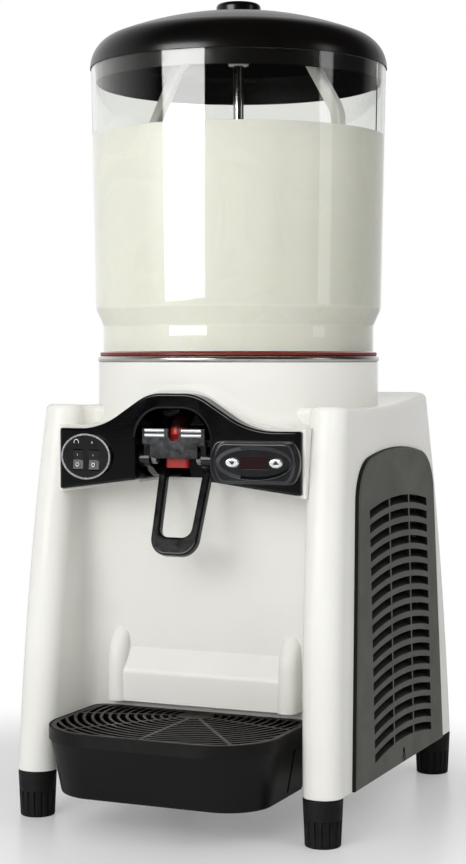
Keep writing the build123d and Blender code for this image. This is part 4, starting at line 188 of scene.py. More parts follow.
# lacquered white board: faint mirror of the feet, soft shadow that fades to white further out
paper, tree, place = startFinish("glossyWhiteSweep")
reach = addNode(
    tree, "ShaderNodeVectorMath", {"operation": "DISTANCE", 1: floorPlan["middle"]}, {0: place}
)
fade = addNode(
    tree, "ShaderNodeMapRange",
    {"interpolation_type": "SMOOTHSTEP", "From Min": floorPlan["clearFrom"],
     "From Max": floorPlan["clearTo"], "To Min": floorPlan["haze"]},
    {"Value": reach.outputs["Value"]},
)
seen = addNode(tree, "ShaderNodeLightPath")
fadeSeen = addNode(
    tree, "ShaderNodeMath", {"operation": "MULTIPLY"},
    {0: fade.outputs["Result"], 1: seen.outputs["Is Camera Ray"]},
)
board = addNode(
    tree, "ShaderNodeBsdfPrincipled",
    {"Base Color": linear(floorPlan["colour"]), "Roughness": floorPlan["rough"],
     "Specular IOR Level": floorPlan["mirror"]},
)
glow = addNode(tree, "ShaderNodeEmission", {"Color": (1, 1, 1, 1), "Strength": 1.0})
sweep = addNode(
    tree, "ShaderNodeMixShader", None,
    {0: fadeSeen.outputs[0], 1: board.outputs[0], 2: glow.outputs[0]},
)
addNode(tree, "ShaderNodeOutputMaterial", None, {"Surface": sweep.outputs[0]})
floor.data.materials.append(paper)
print("camera, room and softboxes set")


# finishes of the moulded pieces

moulding = {
    "cloudDetail": 4.0, "cloudSpread": (0.35, 0.65), "grainDetail": 2.0, "grainDepth": 0.25,
    "smudgeDetail": 6.0, "smudgeDrift": 0.6, "smudgeSpread": (0.3, 0.7), "edgeSamples": 4,
    "ior": 1.5,
}


def mouldedFinish(look):
    material, tree, place = startFinish(look["name"])
    normal = place.node.outputs["Normal"]
    cloud = addNode(
        tree, "ShaderNodeTexNoise",
        {"Scale": perMetre(look["cloudMm"]), "Detail": moulding["cloudDetail"]},
        {"Vector": place},
    )
    low, high = moulding["cloudSpread"]
    tone = addNode(
        tree, "ShaderNodeMapRange", {"From Min": low, "From Max": high}, {"Value": cloud.outputs[0]}
    )
    colour = addNode(
        tree, "ShaderNodeMix",
        {"data_type": "RGBA", colourA: linear(look["colour"]), colourB: linear(look["shade"])},
        {0: tone.outputs["Result"]},
    )
    tint = colour.outputs[colourOut]
    # painted light: faces turned away from the axis are coloured with a painted shade or painted
    # highlight tone, set by each finish
    if look.get("paintedTurnedTone"):  # faces turned away from the axis take another tone
        axis, limit, paintedTone = look["paintedTurnedTone"]
        along = addNode(
            tree, "ShaderNodeVectorMath", {"operation": "DOT_PRODUCT", 1: axis}, {0: normal}
        )
        share = addNode(
            tree, "ShaderNodeMath", {"operation": "ABSOLUTE"}, {0: along.outputs["Value"]}
        )
        paintedFaces = addNode(
            tree, "ShaderNodeMath", {"operation": "LESS_THAN", 1: limit}, {0: share.outputs[0]}
        )
        tint = addNode(
            tree, "ShaderNodeMix", {"data_type": "RGBA", colourB: linear(paintedTone)},
            {0: paintedFaces.outputs[0], colourA: tint},
        ).outputs[colourOut]
    handling = addNode(
        tree, "ShaderNodeTexNoise",
        {"Scale": perMetre(look["smudgeMm"]), "Detail": moulding["smudgeDetail"],
         "Distortion": moulding["smudgeDrift"]},
        {"Vector": place},
    )
    low, high = moulding["smudgeSpread"]
    gloss = addNode(
        tree, "ShaderNodeMapRange",
        {"From Min": low, "From Max": high, "To Min": look["rough"][0], "To Max": look["rough"][1]},
        {"Value": handling.outputs[0]},
    )
    grain = addNode(
        tree, "ShaderNodeTexNoise",
        {"Scale": perMetre(look["grainMm"]), "Detail": moulding["grainDetail"]},
        {"Vector": place},
    )
    relief = addNode(
        tree, "ShaderNodeBump",
        {"Strength": look["grain"], "Distance": look["grainMm"] * mm * moulding["grainDepth"]},
        {"Height": grain.outputs[0]},
    )
    if look.get("softEdgeMm"):  # corners catch the light as moulded ones do
        edge = addNode(
            tree, "ShaderNodeBevel",
            {"samples": moulding["edgeSamples"], "Radius": look["softEdgeMm"] * mm},
        )
        tree.links.new(edge.outputs["Normal"], relief.inputs["Normal"])
    surface = addNode(
        tree, "ShaderNodeBsdfPrincipled",
        {"IOR": look.get("ior", moulding["ior"]), **look.get("extra", {})},
        {"Base Color": tint, "Roughness": gloss.outputs["Result"],
         "Normal": relief.outputs["Normal"]},
    )
    if look.get("sheenFaces"):  # a clear gloss that grows from one slope to another
        dullAt, shinyAt, weight = look["sheenFaces"]
        slope = addNode(tree, "ShaderNodeSeparateXYZ", None, {0: normal})
        sheen = addNode(
            tree, "ShaderNodeMapRange",
            {"From Min": dullAt, "From Max": shinyAt, "To Max": weight},
            {"Value": slope.outputs["Z"]},
        )
        tree.links.new(sheen.outputs["Result"], surface.inputs["Coat Weight"])
    addNode(tree, "ShaderNodeOutputMaterial", None, {"Surface": surface.outputs[0]})
    return material


# gloss-moulded ABS: bright and faintly warm, a trace of orange peel in its highlights
whiteAbs = mouldedFinish({
    "name": "glossWhiteAbs", "colour": "#ECEBE6", "shade": "#E6E5DF", "cloudMm": 140,
    "rough": (0.13, 0.20), "smudgeMm": 45, "grainMm": 3.0, "grain": 0.05, "ior": 1.53,
    "softEdgeMm": 0.8, "extra": {"Specular IOR Level": 0.08},
})
# piano-black ABS: almost no texture, faint wipe marks that show only in reflections
fasciaAbs = mouldedFinish({
    "name": "pianoBlackAbs", "colour": "#030304", "shade": "#050506", "cloudMm": 60,
    "rough": (0.06, 0.13), "smudgeMm": 18, "grainMm": 3.0, "grain": 0.02, "ior": 1.53,
    "softEdgeMm": 0.5, "extra": {"Specular IOR Level": 0.3},
})
# black polycarbonate of the thermostat: clear gloss, fine wipe marks, edges painted pale as a
# highlight
bezelBlack = mouldedFinish({
    "name": "glossBlackPolycarbonate", "colour": "#0A0B0D", "shade": "#101114", "cloudMm": 30,
    "rough": (0.08, 0.16), "smudgeMm": 10, "grainMm": 2.0, "grain": 0.02, "ior": 1.58,
    "softEdgeMm": 0.4, "paintedTurnedTone": ((0, -1, 0), 0.86, "#3E4044"),
})
# spark-eroded nylon of the rocker switches: fine matt grain
rockerNylon = mouldedFinish({
    "name": "grainedBlackNylon", "colour": "#0B0B0D", "shade": "#111113", "cloudMm": 12,
    "rough": (0.20, 0.30), "smudgeMm": 6, "grainMm": 0.7, "grain": 0.06, "ior": 1.53,
    "softEdgeMm": 0.4, "extra": {"Specular IOR Level": 0.25},
})
# gloss ABS of the switch plate: near black, wiped clean
plateAbs = mouldedFinish({
    "name": "glossBlackPlateAbs", "colour": "#0B0C0E", "shade": "#101113", "cloudMm": 20,
    "rough": (0.12, 0.22), "smudgeMm": 8, "grainMm": 2.0, "grain": 0.03, "ior": 1.53,
    "softEdgeMm": 0.4,
})
# silver lacquer on the plate's oval ring: bright all round, its flake drawn coarse enough to show
ringLacquer = mouldedFinish({
    "name": "satinSilverLacquer", "colour": "#B4B5B7", "shade": "#A4A5A8", "cloudMm": 3,
    "rough": (0.20, 0.32), "smudgeMm": 5, "grainMm": 0.6, "grain": 0.05, "softEdgeMm": 0.5,
    "extra": {"Metallic": 0.6, "Coat Weight": 0.4, "Coat Roughness": 0.08},
})
# acetal of the push lever: dense black with a polished, slightly waxy gloss
leverAcetal = mouldedFinish({
    "name": "polishedBlackAcetal", "colour": "#0B0B0C", "shade": "#101012", "cloudMm": 25,
    "rough": (0.10, 0.20), "smudgeMm": 9, "grainMm": 1.6, "grain": 0.04, "ior": 1.48,
    "softEdgeMm": 0.5, "extra": {"Specular IOR Level": 0.35},
})
# dark grey glass-filled nylon of the pinch anvil, polished where the cloth wipes it
jawNylon = mouldedFinish({
    "name": "polishedGreyNylon", "colour": "#3A3B3E", "shade": "#46474B", "cloudMm": 9,
    "rough": (0.14, 0.26), "smudgeMm": 5, "grainMm": 0.9, "grain": 0.06, "ior": 1.53,
    "softEdgeMm": 0.5,
})
# satin ABS of the tray: warm black, even moulded grain
trayAbs = mouldedFinish({
    "name": "satinBlackAbs", "colour": "#0D0B0A", "shade": "#110F0E", "cloudMm": 50,
    "rough": (0.40, 0.52), "smudgeMm": 22, "grainMm": 1.2, "grain": 0.05, "ior": 1.53,
    "softEdgeMm": 0.6, "sheenFaces": (0.85, 0.55, 0.3),
    "extra": {"Specular IOR Level": 0.02, "Coat Roughness": 0.34},
})
# the grid's own finish: paler on top, painted shade colouring the faces between the slats black
gridAbs = mouldedFinish({
    "name": "blackAbsWithSlotShade", "colour": "#2B2724", "shade": "#342F2B", "cloudMm": 30,
    "rough": (0.36, 0.48), "smudgeMm": 14, "grainMm": 1.2, "grain": 0.05, "ior": 1.53,
    "softEdgeMm": 0.4, "paintedTurnedTone": ((0, 0, 1), 0.6, "#0B0A09"),
    "extra": {"Specular IOR Level": 0.15},
})
# polypropylene of the lid: deep satin black, a little brown in the light
lidPolypropylene = mouldedFinish({
    "name": "satinBlackPolypropylene", "colour": "#040302", "shade": "#070504", "cloudMm": 70,
    "rough": (0.20, 0.30), "smudgeMm": 30, "grainMm": 1.5, "grain": 0.06, "ior": 1.49,
    "softEdgeMm": 0.6, "sheenFaces": (-0.25, -0.05, 0.9),
    "extra": {"Specular IOR Level": 0.0, "Coat Roughness": 0.24},
})
# hard rubber of the feet: dull black with a dusty bloom
footRubber = mouldedFinish({
    "name": "hardBlackRubber", "colour": "#0C0C0B", "shade": "#131312", "cloudMm": 10,
    "rough": (0.50, 0.65), "smudgeMm": 7, "grainMm": 0.9, "grain": 0.22, "ior": 1.52,
    "softEdgeMm": 0.5, "extra": {"Specular IOR Level": 0.2},
})
# satin ABS of the side grilles: olive grey with a fine even grain, painted shade darkening the
# slots
grilleAbs = mouldedFinish({
    "name": "satinGreyAbs", "colour": "#50514A", "shade": "#575851", "cloudMm": 80,
    "rough": (0.38, 0.50), "smudgeMm": 26, "grainMm": 1.0, "grain": 0.08, "ior": 1.53,
    "softEdgeMm": 0.6, "paintedTurnedTone": ((1, 0, 0), 0.6, "#1C1C1A"),
    "extra": {"Specular IOR Level": 0.12},
})
# white acetal of the agitator: milky, light passes a little way in
agitatorAcetal = mouldedFinish({
    "name": "naturalWhiteAcetal", "colour": "#EDEDE8", "shade": "#E4E4DE", "cloudMm": 30,
    "rough": (0.24, 0.36), "smudgeMm": 14, "grainMm": 1.4, "grain": 0.05, "ior": 1.48,
    "softEdgeMm": 0.6,
    "extra": {"Subsurface Weight": 0.2, "Subsurface Radius": (0.003, 0.0026, 0.0022)},
})
# moulded silicone of the bowl gasket: brick red, soft sheen
gasketSilicone = mouldedFinish({
    "name": "brickRedSilicone", "colour": "#7E2718", "shade": "#6C1F12", "cloudMm": 14,
    "rough": (0.34, 0.50), "smudgeMm": 8, "grainMm": 0.8, "grain": 0.10, "ior": 1.41,
    "extra": {"Subsurface Weight": 0.15, "Subsurface Radius": (0.003, 0.0008, 0.0005)},
})
# rubber of the seals, mounts and gland: dark and matt, no highlight
sealRubber = mouldedFinish({
    "name": "mattBlackRubber", "colour": "#151514", "shade": "#1E1E1C", "cloudMm": 8,
    "rough": (0.55, 0.72), "smudgeMm": 6, "grainMm": 0.6, "grain": 0.20, "ior": 1.52,
})
# stove enamel on the compressor: thick black coat with orange peel
stoveEnamel = mouldedFinish({
    "name": "blackStoveEnamel", "colour": "#101112", "shade": "#17181A", "cloudMm": 40,
    "rough": (0.18, 0.32), "smudgeMm": 16, "grainMm": 2.2, "grain": 0.18, "ior": 1.52,
})
# nylon of the fan and its shroud: dull dark grey
fanNylon = mouldedFinish({
    "name": "dullGreyNylon", "colour": "#26282A", "shade": "#303235", "cloudMm": 24,
    "rough": (0.40, 0.55), "smudgeMm": 12, "grainMm": 0.9, "grain": 0.12, "ior": 1.53,
})
# smoked red acrylic over the display: almost black until it is lit
displayAcrylic = mouldedFinish({
    "name": "smokedRedAcrylic", "colour": "#1A0406", "shade": "#220507", "cloudMm": 9,
    "rough": (0.05, 0.10), "smudgeMm": 6, "grainMm": 1.5, "grain": 0.01, "ior": 1.49,
})
# silver lacquer on the two buttons: metal flake under clear coat, drawn coarse enough to show
buttonLacquer = mouldedFinish({
    "name": "silverFlakeLacquer", "colour": "#E4E5E6", "shade": "#D8DADC", "cloudMm": 6,
    "rough": (0.18, 0.28), "smudgeMm": 3, "grainMm": 0.5, "grain": 0.01, "softEdgeMm": 0.7,
    "extra": {"Metallic": 0.75, "Coat Weight": 0.6, "Coat Roughness": 0.06},
})
print("moulded finishes ready")


# finishes of the metal pieces

metalwork = {
    "lineDetail": 5.0, "lineRough": 0.65, "lineSpread": (0.3, 0.7), "lineDepth": 0.2,
    "stainDetail": 5.0, "stainDrift": 0.8, "stainSpread": (0.4, 0.7),
}


def metalFinish(look):
    material, tree, place = startFinish(look["name"])
    drawn = addNode(tree, "ShaderNodeMapping", {"Scale": look["stretch"]}, {"Vector": place})
    lines = addNode(
        tree, "ShaderNodeTexNoise",
        {"Scale": perMetre(look["lineMm"]), "Detail": metalwork["lineDetail"],
         "Roughness": metalwork["lineRough"]},
        {"Vector": drawn.outputs[0]},
    )
    stain = addNode(
        tree, "ShaderNodeTexNoise",
        {"Scale": perMetre(look["stainMm"]), "Detail": metalwork["stainDetail"],
         "Distortion": metalwork["stainDrift"]},
        {"Vector": place},
    )
    low, high = metalwork["stainSpread"]
    tarnish = addNode(
        tree, "ShaderNodeMapRange", {"From Min": low, "From Max": high}, {"Value": stain.outputs[0]}
    )
    colour = addNode(
        tree, "ShaderNodeMix",
        {"data_type": "RGBA", colourA: linear(look["colour"]), colourB: linear(look["tarnish"])},
        {0: tarnish.outputs["Result"]},
    )
    low, high = metalwork["lineSpread"]
    gloss = addNode(
        tree, "ShaderNodeMapRange",
        {"From Min": low, "From Max": high, "To Min": look["rough"][0], "To Max": look["rough"][1]},
        {"Value": lines.outputs[0]},
    )
    relief = addNode(
        tree, "ShaderNodeBump",
        {"Strength": look["relief"], "Distance": look["lineMm"] * mm * metalwork["lineDepth"]},
        {"Height": lines.outputs[0]},
    )
    surface = addNode(
        tree, "ShaderNodeBsdfPrincipled", {"Metallic": 1.0},
        {"Base Color": colour.outputs[colourOut], "Roughness": gloss.outputs["Result"],
         "Normal": relief.outputs["Normal"]},
    )
    addNode(tree, "ShaderNodeOutputMaterial", None, {"Surface": surface.outputs[0]})
    return material


# spun stainless steel: rings around the axis, so bright streaks run up the rim
spunSteel = metalFinish({
    "name": "spunStainlessSteel", "colour": "#C9C8C5", "tarnish": "#B9B7B2",
    "stretch": (1, 1, 12), "lineMm": 4.0, "stainMm": 60, "rough": (0.14, 0.26), "relief": 0.10,
})
# ground stainless bar of the shaft and pins: drawn along its length, lines coarse enough to show
groundSteel = metalFinish({
    "name": "groundStainlessBar", "colour": "#CFCECB", "tarnish": "#BDBBB7",
    "stretch": (1, 1, 0.06), "lineMm": 0.8, "stainMm": 30, "rough": (0.10, 0.20), "relief": 0.06,
})
# zinc-plated screws and spring wire: bluish, slightly milky
zincPlate = metalFinish({
    "name": "zincPlatedSteel", "colour": "#B9BDC0", "tarnish": "#9BA0A3",
    "stretch": (1, 1, 1), "lineMm": 1.5, "stainMm": 5, "rough": (0.24, 0.40), "relief": 0.08,
})
# blackened screws of the grilles: oiled, with a dull glint
blackSteel = metalFinish({
    "name": "blackenedSteel", "colour": "#3A3A3B", "tarnish": "#242425",
    "stretch": (1, 1, 1), "lineMm": 1.5, "stainMm": 4, "rough": (0.30, 0.46), "relief": 0.08,
})
# copper tube: warm and bright where handled, browned between
copperTube = metalFinish({
    "name": "drawnCopperTube", "colour": "#C77B4E", "tarnish": "#8A4E30",
    "stretch": (1, 0.3, 1), "lineMm": 3.0, "stainMm": 14, "rough": (0.18, 0.36), "relief": 0.06,
})
# aluminium fin stock: pale, rolled, a little dusty
finStock = metalFinish({
    "name": "rolledAluminiumFin", "colour": "#BFC2C4", "tarnish": "#9A9B98",
    "stretch": (1, 1, 0.2), "lineMm": 1.5, "stainMm": 22, "rough": (0.30, 0.46), "relief": 0.08,
})

# galvanised sheet of the panel, bracket and base: spangles a centimetre across
spangled = {
    "spangleMm": 11, "dark": "#A9ADB0", "bright": "#C0C4C6", "rough": (0.30, 0.48),
    "metal": 0.9, "pitMm": 2.5, "pitDetail": 3.0, "pits": 0.06, "pitDepthMm": 0.4,
}
zincSheet, tree, place = startFinish("galvanisedSteelSheet")
spangle = addNode(
    tree, "ShaderNodeTexVoronoi", {"Scale": perMetre(spangled["spangleMm"])}, {"Vector": place}
)
shadeOfSpangle = addNode(tree, "ShaderNodeSeparateColor", None, {0: spangle.outputs["Color"]})
colour = addNode(
    tree, "ShaderNodeMix",
    {"data_type": "RGBA", colourA: linear(spangled["dark"]), colourB: linear(spangled["bright"])},
    {0: shadeOfSpangle.outputs[0]},
)
gloss = addNode(
    tree, "ShaderNodeMapRange",
    {"To Min": spangled["rough"][0], "To Max": spangled["rough"][1]},
    {"Value": shadeOfSpangle.outputs[1]},
)
pits = addNode(
    tree, "ShaderNodeTexNoise",
    {"Scale": perMetre(spangled["pitMm"]), "Detail": spangled["pitDetail"]},
    {"Vector": place},
)
relief = addNode(
    tree, "ShaderNodeBump",
    {"Strength": spangled["pits"], "Distance": spangled["pitDepthMm"] * mm},
    {"Height": pits.outputs[0]},
)
surface = addNode(
    tree, "ShaderNodeBsdfPrincipled", {"Metallic": spangled["metal"]},
    {"Base Color": colour.outputs[colourOut], "Roughness": gloss.outputs["Result"],
     "Normal": relief.outputs["Normal"]},
)
addNode(tree, "ShaderNodeOutputMaterial", None, {"Surface": surface.outputs[0]})

# rigid polyurethane foam: cream, skinned with broken cells a millimetre or two across, painted
# shade in their hollows
foamed = {
    "cellMm": 1.8, "paintedPitShade": "#C9B683", "skin": "#E4D7AE", "cells": 0.5, "cellDepthMm": 0.6,
    "rough": 0.92,
}
foamCells, tree, place = startFinish("creamPolyurethaneFoam")
cells = addNode(
    tree, "ShaderNodeTexVoronoi", {"Scale": perMetre(foamed["cellMm"])}, {"Vector": place}
)
colour = addNode(
    tree, "ShaderNodeMix",
    {"data_type": "RGBA", colourA: linear(foamed["paintedPitShade"]), colourB: linear(foamed["skin"])},
    {0: cells.outputs["Distance"]},
)
relief = addNode(
    tree, "ShaderNodeBump",
    {"Strength": foamed["cells"], "Distance": foamed["cellDepthMm"] * mm},
    {"Height": cells.outputs["Distance"]},
)
surface = addNode(
    tree, "ShaderNodeBsdfPrincipled", {"Roughness": foamed["rough"]},
    {"Base Color": colour.outputs[colourOut], "Normal": relief.outputs["Normal"]},
)
addNode(tree, "ShaderNodeOutputMaterial", None, {"Surface": surface.outputs[0]})

# pinch jaw: dark polished nylon, worn paler at its middle, two steel bars let into its face, their
# pale colour partly a painted glint
jawPlan = {
    "barsFrom": -0.13004, "middle": (0.0, -0.129, 0.352), "wornFrom": 0.003, "wornTo": 0.024,
    "wear": 0.9, "scuffMm": 4, "scuffDetail": 6.0, "scuffSpread": (0.3, 0.7),
    "nylon": "#17181A", "rubbed": "#4A4B4E", "steel": "#BDBEC0", "steelShare": 0.5,
    "rough": (0.14, 0.28), "ior": 1.53,
}
jawBars, tree, place = startFinish("darkNylonWithSteelBars")
axes = addNode(tree, "ShaderNodeSeparateXYZ", None, {0: place})
onBar = addNode(
    tree, "ShaderNodeMath", {"operation": "LESS_THAN", 1: jawPlan["barsFrom"]},
    {0: axes.outputs["Y"]},
)
fromMiddle = addNode(
    tree, "ShaderNodeVectorMath", {"operation": "DISTANCE", 1: jawPlan["middle"]}, {0: place}
)
scuffs = addNode(
    tree, "ShaderNodeTexNoise",
    {"Scale": perMetre(jawPlan["scuffMm"]), "Detail": jawPlan["scuffDetail"]},
    {"Vector": place},
)
wear = addNode(
    tree, "ShaderNodeMapRange",
    {"From Min": jawPlan["wornFrom"], "From Max": jawPlan["wornTo"],
     "To Min": jawPlan["wear"], "To Max": 0.0},
    {"Value": fromMiddle.outputs["Value"]},
)
worn = addNode(
    tree, "ShaderNodeMath", {"operation": "MULTIPLY"},
    {0: wear.outputs["Result"], 1: scuffs.outputs[0]},
)
nylonTone = addNode(
    tree, "ShaderNodeMix",
    {"data_type": "RGBA", colourA: linear(jawPlan["nylon"]), colourB: linear(jawPlan["rubbed"])},
    {0: worn.outputs[0]},
)
# the bars' pale half-diffuse colour is partly steel and partly a painted glint along them
colour = addNode(
    tree, "ShaderNodeMix", {"data_type": "RGBA", colourB: linear(jawPlan["steel"])},
    {0: onBar.outputs[0], colourA: nylonTone.outputs[colourOut]},
)
low, high = jawPlan["scuffSpread"]
gloss = addNode(
    tree, "ShaderNodeMapRange",
    {"From Min": low, "From Max": high,
     "To Min": jawPlan["rough"][0], "To Max": jawPlan["rough"][1]},
    {"Value": scuffs.outputs[0]},
)
steelShare = addNode(
    tree, "ShaderNodeMath", {"operation": "MULTIPLY", 1: jawPlan["steelShare"]},
    {0: onBar.outputs[0]},
)
surface = addNode(
    tree, "ShaderNodeBsdfPrincipled", {"IOR": jawPlan["ior"]},
    {"Base Color": colour.outputs[colourOut], "Roughness": gloss.outputs["Result"],
     "Metallic": steelShare.outputs[0]},
)
addNode(tree, "ShaderNodeOutputMaterial", None, {"Surface": surface.outputs[0]})

# extruded silicone of the tap tube: red and wet at its mouth and in the jaw's notch, painted shade
# above
tubePlan = {
    "darkFrom": 0.3515, "darkTo": 0.3565, "red": "#A8281F", "deepRed": "#8C1D16",
    "paintedShadeAbove": "#190706", "mottleMm": 5, "mottleDetail": 4.0, "mottle": 0.08,
    "mottleDepthMm": 0.4, "rough": (0.20, 0.40), "ior": 1.41, "shine": 0.35,
}
tubeSilicone, tree, place = startFinish("signalRedSilicone")
axes = addNode(tree, "ShaderNodeSeparateXYZ", None, {0: place})
mottle = addNode(
    tree, "ShaderNodeTexNoise",
    {"Scale": perMetre(tubePlan["mottleMm"]), "Detail": tubePlan["mottleDetail"]},
    {"Vector": place},
)
# painted shade: above the jaw's notch the red turns near black, for the shade inside the hood
paintedShadeAbove = addNode(
    tree, "ShaderNodeMapRange",
    {"interpolation_type": "SMOOTHSTEP", "From Min": tubePlan["darkFrom"],
     "From Max": tubePlan["darkTo"]},
    {"Value": axes.outputs["Z"]},
)
unshadedRed = addNode(
    tree, "ShaderNodeMix",
    {"data_type": "RGBA", colourA: linear(tubePlan["red"]), colourB: linear(tubePlan["deepRed"])},
    {0: mottle.outputs[0]},
)
colour = addNode(
    tree, "ShaderNodeMix", {"data_type": "RGBA", colourB: linear(tubePlan["paintedShadeAbove"])},
    {0: paintedShadeAbove.outputs["Result"], colourA: unshadedRed.outputs[colourOut]},
)
gloss = addNode(
    tree, "ShaderNodeMapRange",
    {"To Min": tubePlan["rough"][0], "To Max": tubePlan["rough"][1]},
    {"Value": mottle.outputs[0]},
)
relief = addNode(
    tree, "ShaderNodeBump",
    {"Strength": tubePlan["mottle"], "Distance": tubePlan["mottleDepthMm"] * mm},
    {"Height": mottle.outputs[0]},
)
surface = addNode(
    tree, "ShaderNodeBsdfPrincipled",
    {"IOR": tubePlan["ior"], "Specular IOR Level": tubePlan["shine"]},
    {"Base Color": colour.outputs[colourOut], "Roughness": gloss.outputs["Result"],
     "Normal": relief.outputs["Normal"]},
)
addNode(tree, "ShaderNodeOutputMaterial", None, {"Surface": surface.outputs[0]})

# milk drink: dense and even, a touch of green-yellow in the depth
milkPlan = {
    "pale": "#F4F4EB", "deep": "#EEEEE3", "swirlMm": 90, "swirlDetail": 3.0, "swirlDrift": 1.2,
    "ripple": 0.03, "rippleMm": 2, "rough": (0.20, 0.34), "ior": 1.35, "cloudy": 0.8,
    "lightReach": (0.025, 0.024, 0.020),
}
milkDrink, tree, place = startFinish("milkyDrink")
swirl = addNode(
    tree, "ShaderNodeTexNoise",
    {"Scale": perMetre(milkPlan["swirlMm"]), "Detail": milkPlan["swirlDetail"],
     "Distortion": milkPlan["swirlDrift"]},
    {"Vector": place},
)
colour = addNode(
    tree, "ShaderNodeMix",
    {"data_type": "RGBA", colourA: linear(milkPlan["pale"]), colourB: linear(milkPlan["deep"])},
    {0: swirl.outputs[0]},
)
ripple = addNode(
    tree, "ShaderNodeBump",
    {"Strength": milkPlan["ripple"], "Distance": milkPlan["rippleMm"] * mm},
    {"Height": swirl.outputs[0]},
)
gloss = addNode(
    tree, "ShaderNodeMapRange",
    {"To Min": milkPlan["rough"][0], "To Max": milkPlan["rough"][1]},
    {"Value": swirl.outputs[0]},
)
surface = addNode(
    tree, "ShaderNodeBsdfPrincipled",
    {"IOR": milkPlan["ior"], "Subsurface Weight": milkPlan["cloudy"],
     "Subsurface Radius": milkPlan["lightReach"]},
    {"Base Color": colour.outputs[colourOut], "Roughness": gloss.outputs["Result"],
     "Normal": ripple.outputs["Normal"]},
)
addNode(tree, "ShaderNodeOutputMaterial", None, {"Surface": surface.outputs[0]})

# pad-printed ink: flat and chalky, its unevenness drawn coarse enough to show
inkPlan = {"patchMm": 0.8, "patchDetail": 3.0, "rough": (0.40, 0.60)}


def inkFinish(look):
    material, tree, place = startFinish(look["name"])
    patch = addNode(
        tree, "ShaderNodeTexNoise",
        {"Scale": perMetre(inkPlan["patchMm"]), "Detail": inkPlan["patchDetail"]},
        {"Vector": place},
    )
    colour = addNode(
        tree, "ShaderNodeMix",
        {"data_type": "RGBA", colourA: linear(look["colour"]), colourB: linear(look["shade"])},
        {0: patch.outputs[0]},
    )
    gloss = addNode(
        tree, "ShaderNodeMapRange",
        {"To Min": inkPlan["rough"][0], "To Max": inkPlan["rough"][1]},
        {"Value": patch.outputs[0]},
    )
    surface = addNode(
        tree, "ShaderNodeBsdfPrincipled", None,
        {"Base Color": colour.outputs[colourOut], "Roughness": gloss.outputs["Result"]},
    )
    addNode(tree, "ShaderNodeOutputMaterial", None, {"Surface": surface.outputs[0]})
    return material


whiteInk = inkFinish({"name": "whitePadPrint", "colour": "#E6E6E2", "shade": "#D9D9D5"})
blackInk = inkFinish({"name": "blackPadPrint", "colour": "#0C0C0D", "shade": "#151516"})

# clear moulded polycarbonate of the bowl: faint green-grey body, long soft flow waves
clearPlan = {
    "tint": "#F6F7F4", "through": "#FBFBFB", "ior": 1.49, "flow": (1, 1, 0.25),
    "waveMm": 40, "waveDetail": 2.0, "waves": 0.04, "waveDepthMm": 2,
    "handledMm": 35, "handledDetail": 5.0, "handledSpread": (0.35, 0.75), "rough": (0.0, 0.035),
}
bowlClear, tree, place = startFinish("clearPolycarbonate")
flow = addNode(tree, "ShaderNodeMapping", {"Scale": clearPlan["flow"]}, {"Vector": place})
waves = addNode(
    tree, "ShaderNodeTexNoise",
    {"Scale": perMetre(clearPlan["waveMm"]), "Detail": clearPlan["waveDetail"]},
    {"Vector": flow.outputs[0]},
)
relief = addNode(
    tree, "ShaderNodeBump",
    {"Strength": clearPlan["waves"], "Distance": clearPlan["waveDepthMm"] * mm},
    {"Height": waves.outputs[0]},
)
handled = addNode(
    tree, "ShaderNodeTexNoise",
    {"Scale": perMetre(clearPlan["handledMm"]), "Detail": clearPlan["handledDetail"]},
    {"Vector": place},
)
low, high = clearPlan["handledSpread"]
gloss = addNode(
    tree, "ShaderNodeMapRange",
    {"From Min": low, "From Max": high,
     "To Min": clearPlan["rough"][0], "To Max": clearPlan["rough"][1]},
    {"Value": handled.outputs[0]},
)
glass = addNode(
    tree, "ShaderNodeBsdfPrincipled",
    {"Base Color": linear(clearPlan["tint"]), "Transmission Weight": 1.0, "IOR": clearPlan["ior"]},
    {"Roughness": gloss.outputs["Result"], "Normal": relief.outputs["Normal"]},
)
lampRay = addNode(tree, "ShaderNodeLightPath")
through = addNode(tree, "ShaderNodeBsdfTransparent", {"Color": linear(clearPlan["through"])})
surface = addNode(
    tree, "ShaderNodeMixShader", None,
    {0: lampRay.outputs["Is Shadow Ray"], 1: glass.outputs[0], 2: through.outputs[0]},
)  # lamps reach the drink through the wall
addNode(tree, "ShaderNodeOutputMaterial", None, {"Surface": surface.outputs[0]})
print("metal, foam and bowl finishes ready")

corners = ("front_left", "front_right", "rear_left", "rear_right")
dress(whiteAbs, "body_shell")
dress(fasciaAbs, "fascia")
dress(bezelBlack, "thermostat_case", "thermostat_face")
dress(displayAcrylic, "display_window")
dress(ringLacquer, "switch_ring")
dress(plateAbs, "switch_plate")
dress(rockerNylon, "switch_housings", "rocker_stir", "rocker_cool")
dress(buttonLacquer, "button_down", "button_up")
dress(leverAcetal, "tap_lever")
dress(jawBars, "pinch_plate")
dress(jawNylon, "pinch_anvil")
dress(tubeSilicone, "pinch_tube")
dress(gasketSilicone, "bowl_gasket")
dress(trayAbs, "drip_tray")
dress(gridAbs, "drip_grid")
dress(lidPolypropylene, "lid", "lid_knob")
dress(bowlClear, "bowl")
dress(footRubber, *["foot_" + corner for corner in corners])
dress(grilleAbs, "side_grille_left", "side_grille_right")
dress(agitatorAcetal, "agitator")
dress(spunSteel, "evaporator_dish")
dress(groundSteel, "drive_shaft", "lever_pins", "knob_screw")
dress(zincPlate, "case_screws", "lever_springs", "tray_support")
dress(zincPlate, *["stud_" + corner for corner in corners])
dress(zincSheet, "rear_panel", "base_plate", "motor_bracket", "gear_motor", "fan_motor")
dress(copperTube, "evaporator_coil", "condenser_tube", "cooling_pipes", "filter_drier")
dress(finStock, "condenser_fins")
dress(stoveEnamel, "compressor")
dress(fanNylon, "fan_blade", "fan_shroud", "terminal_box")
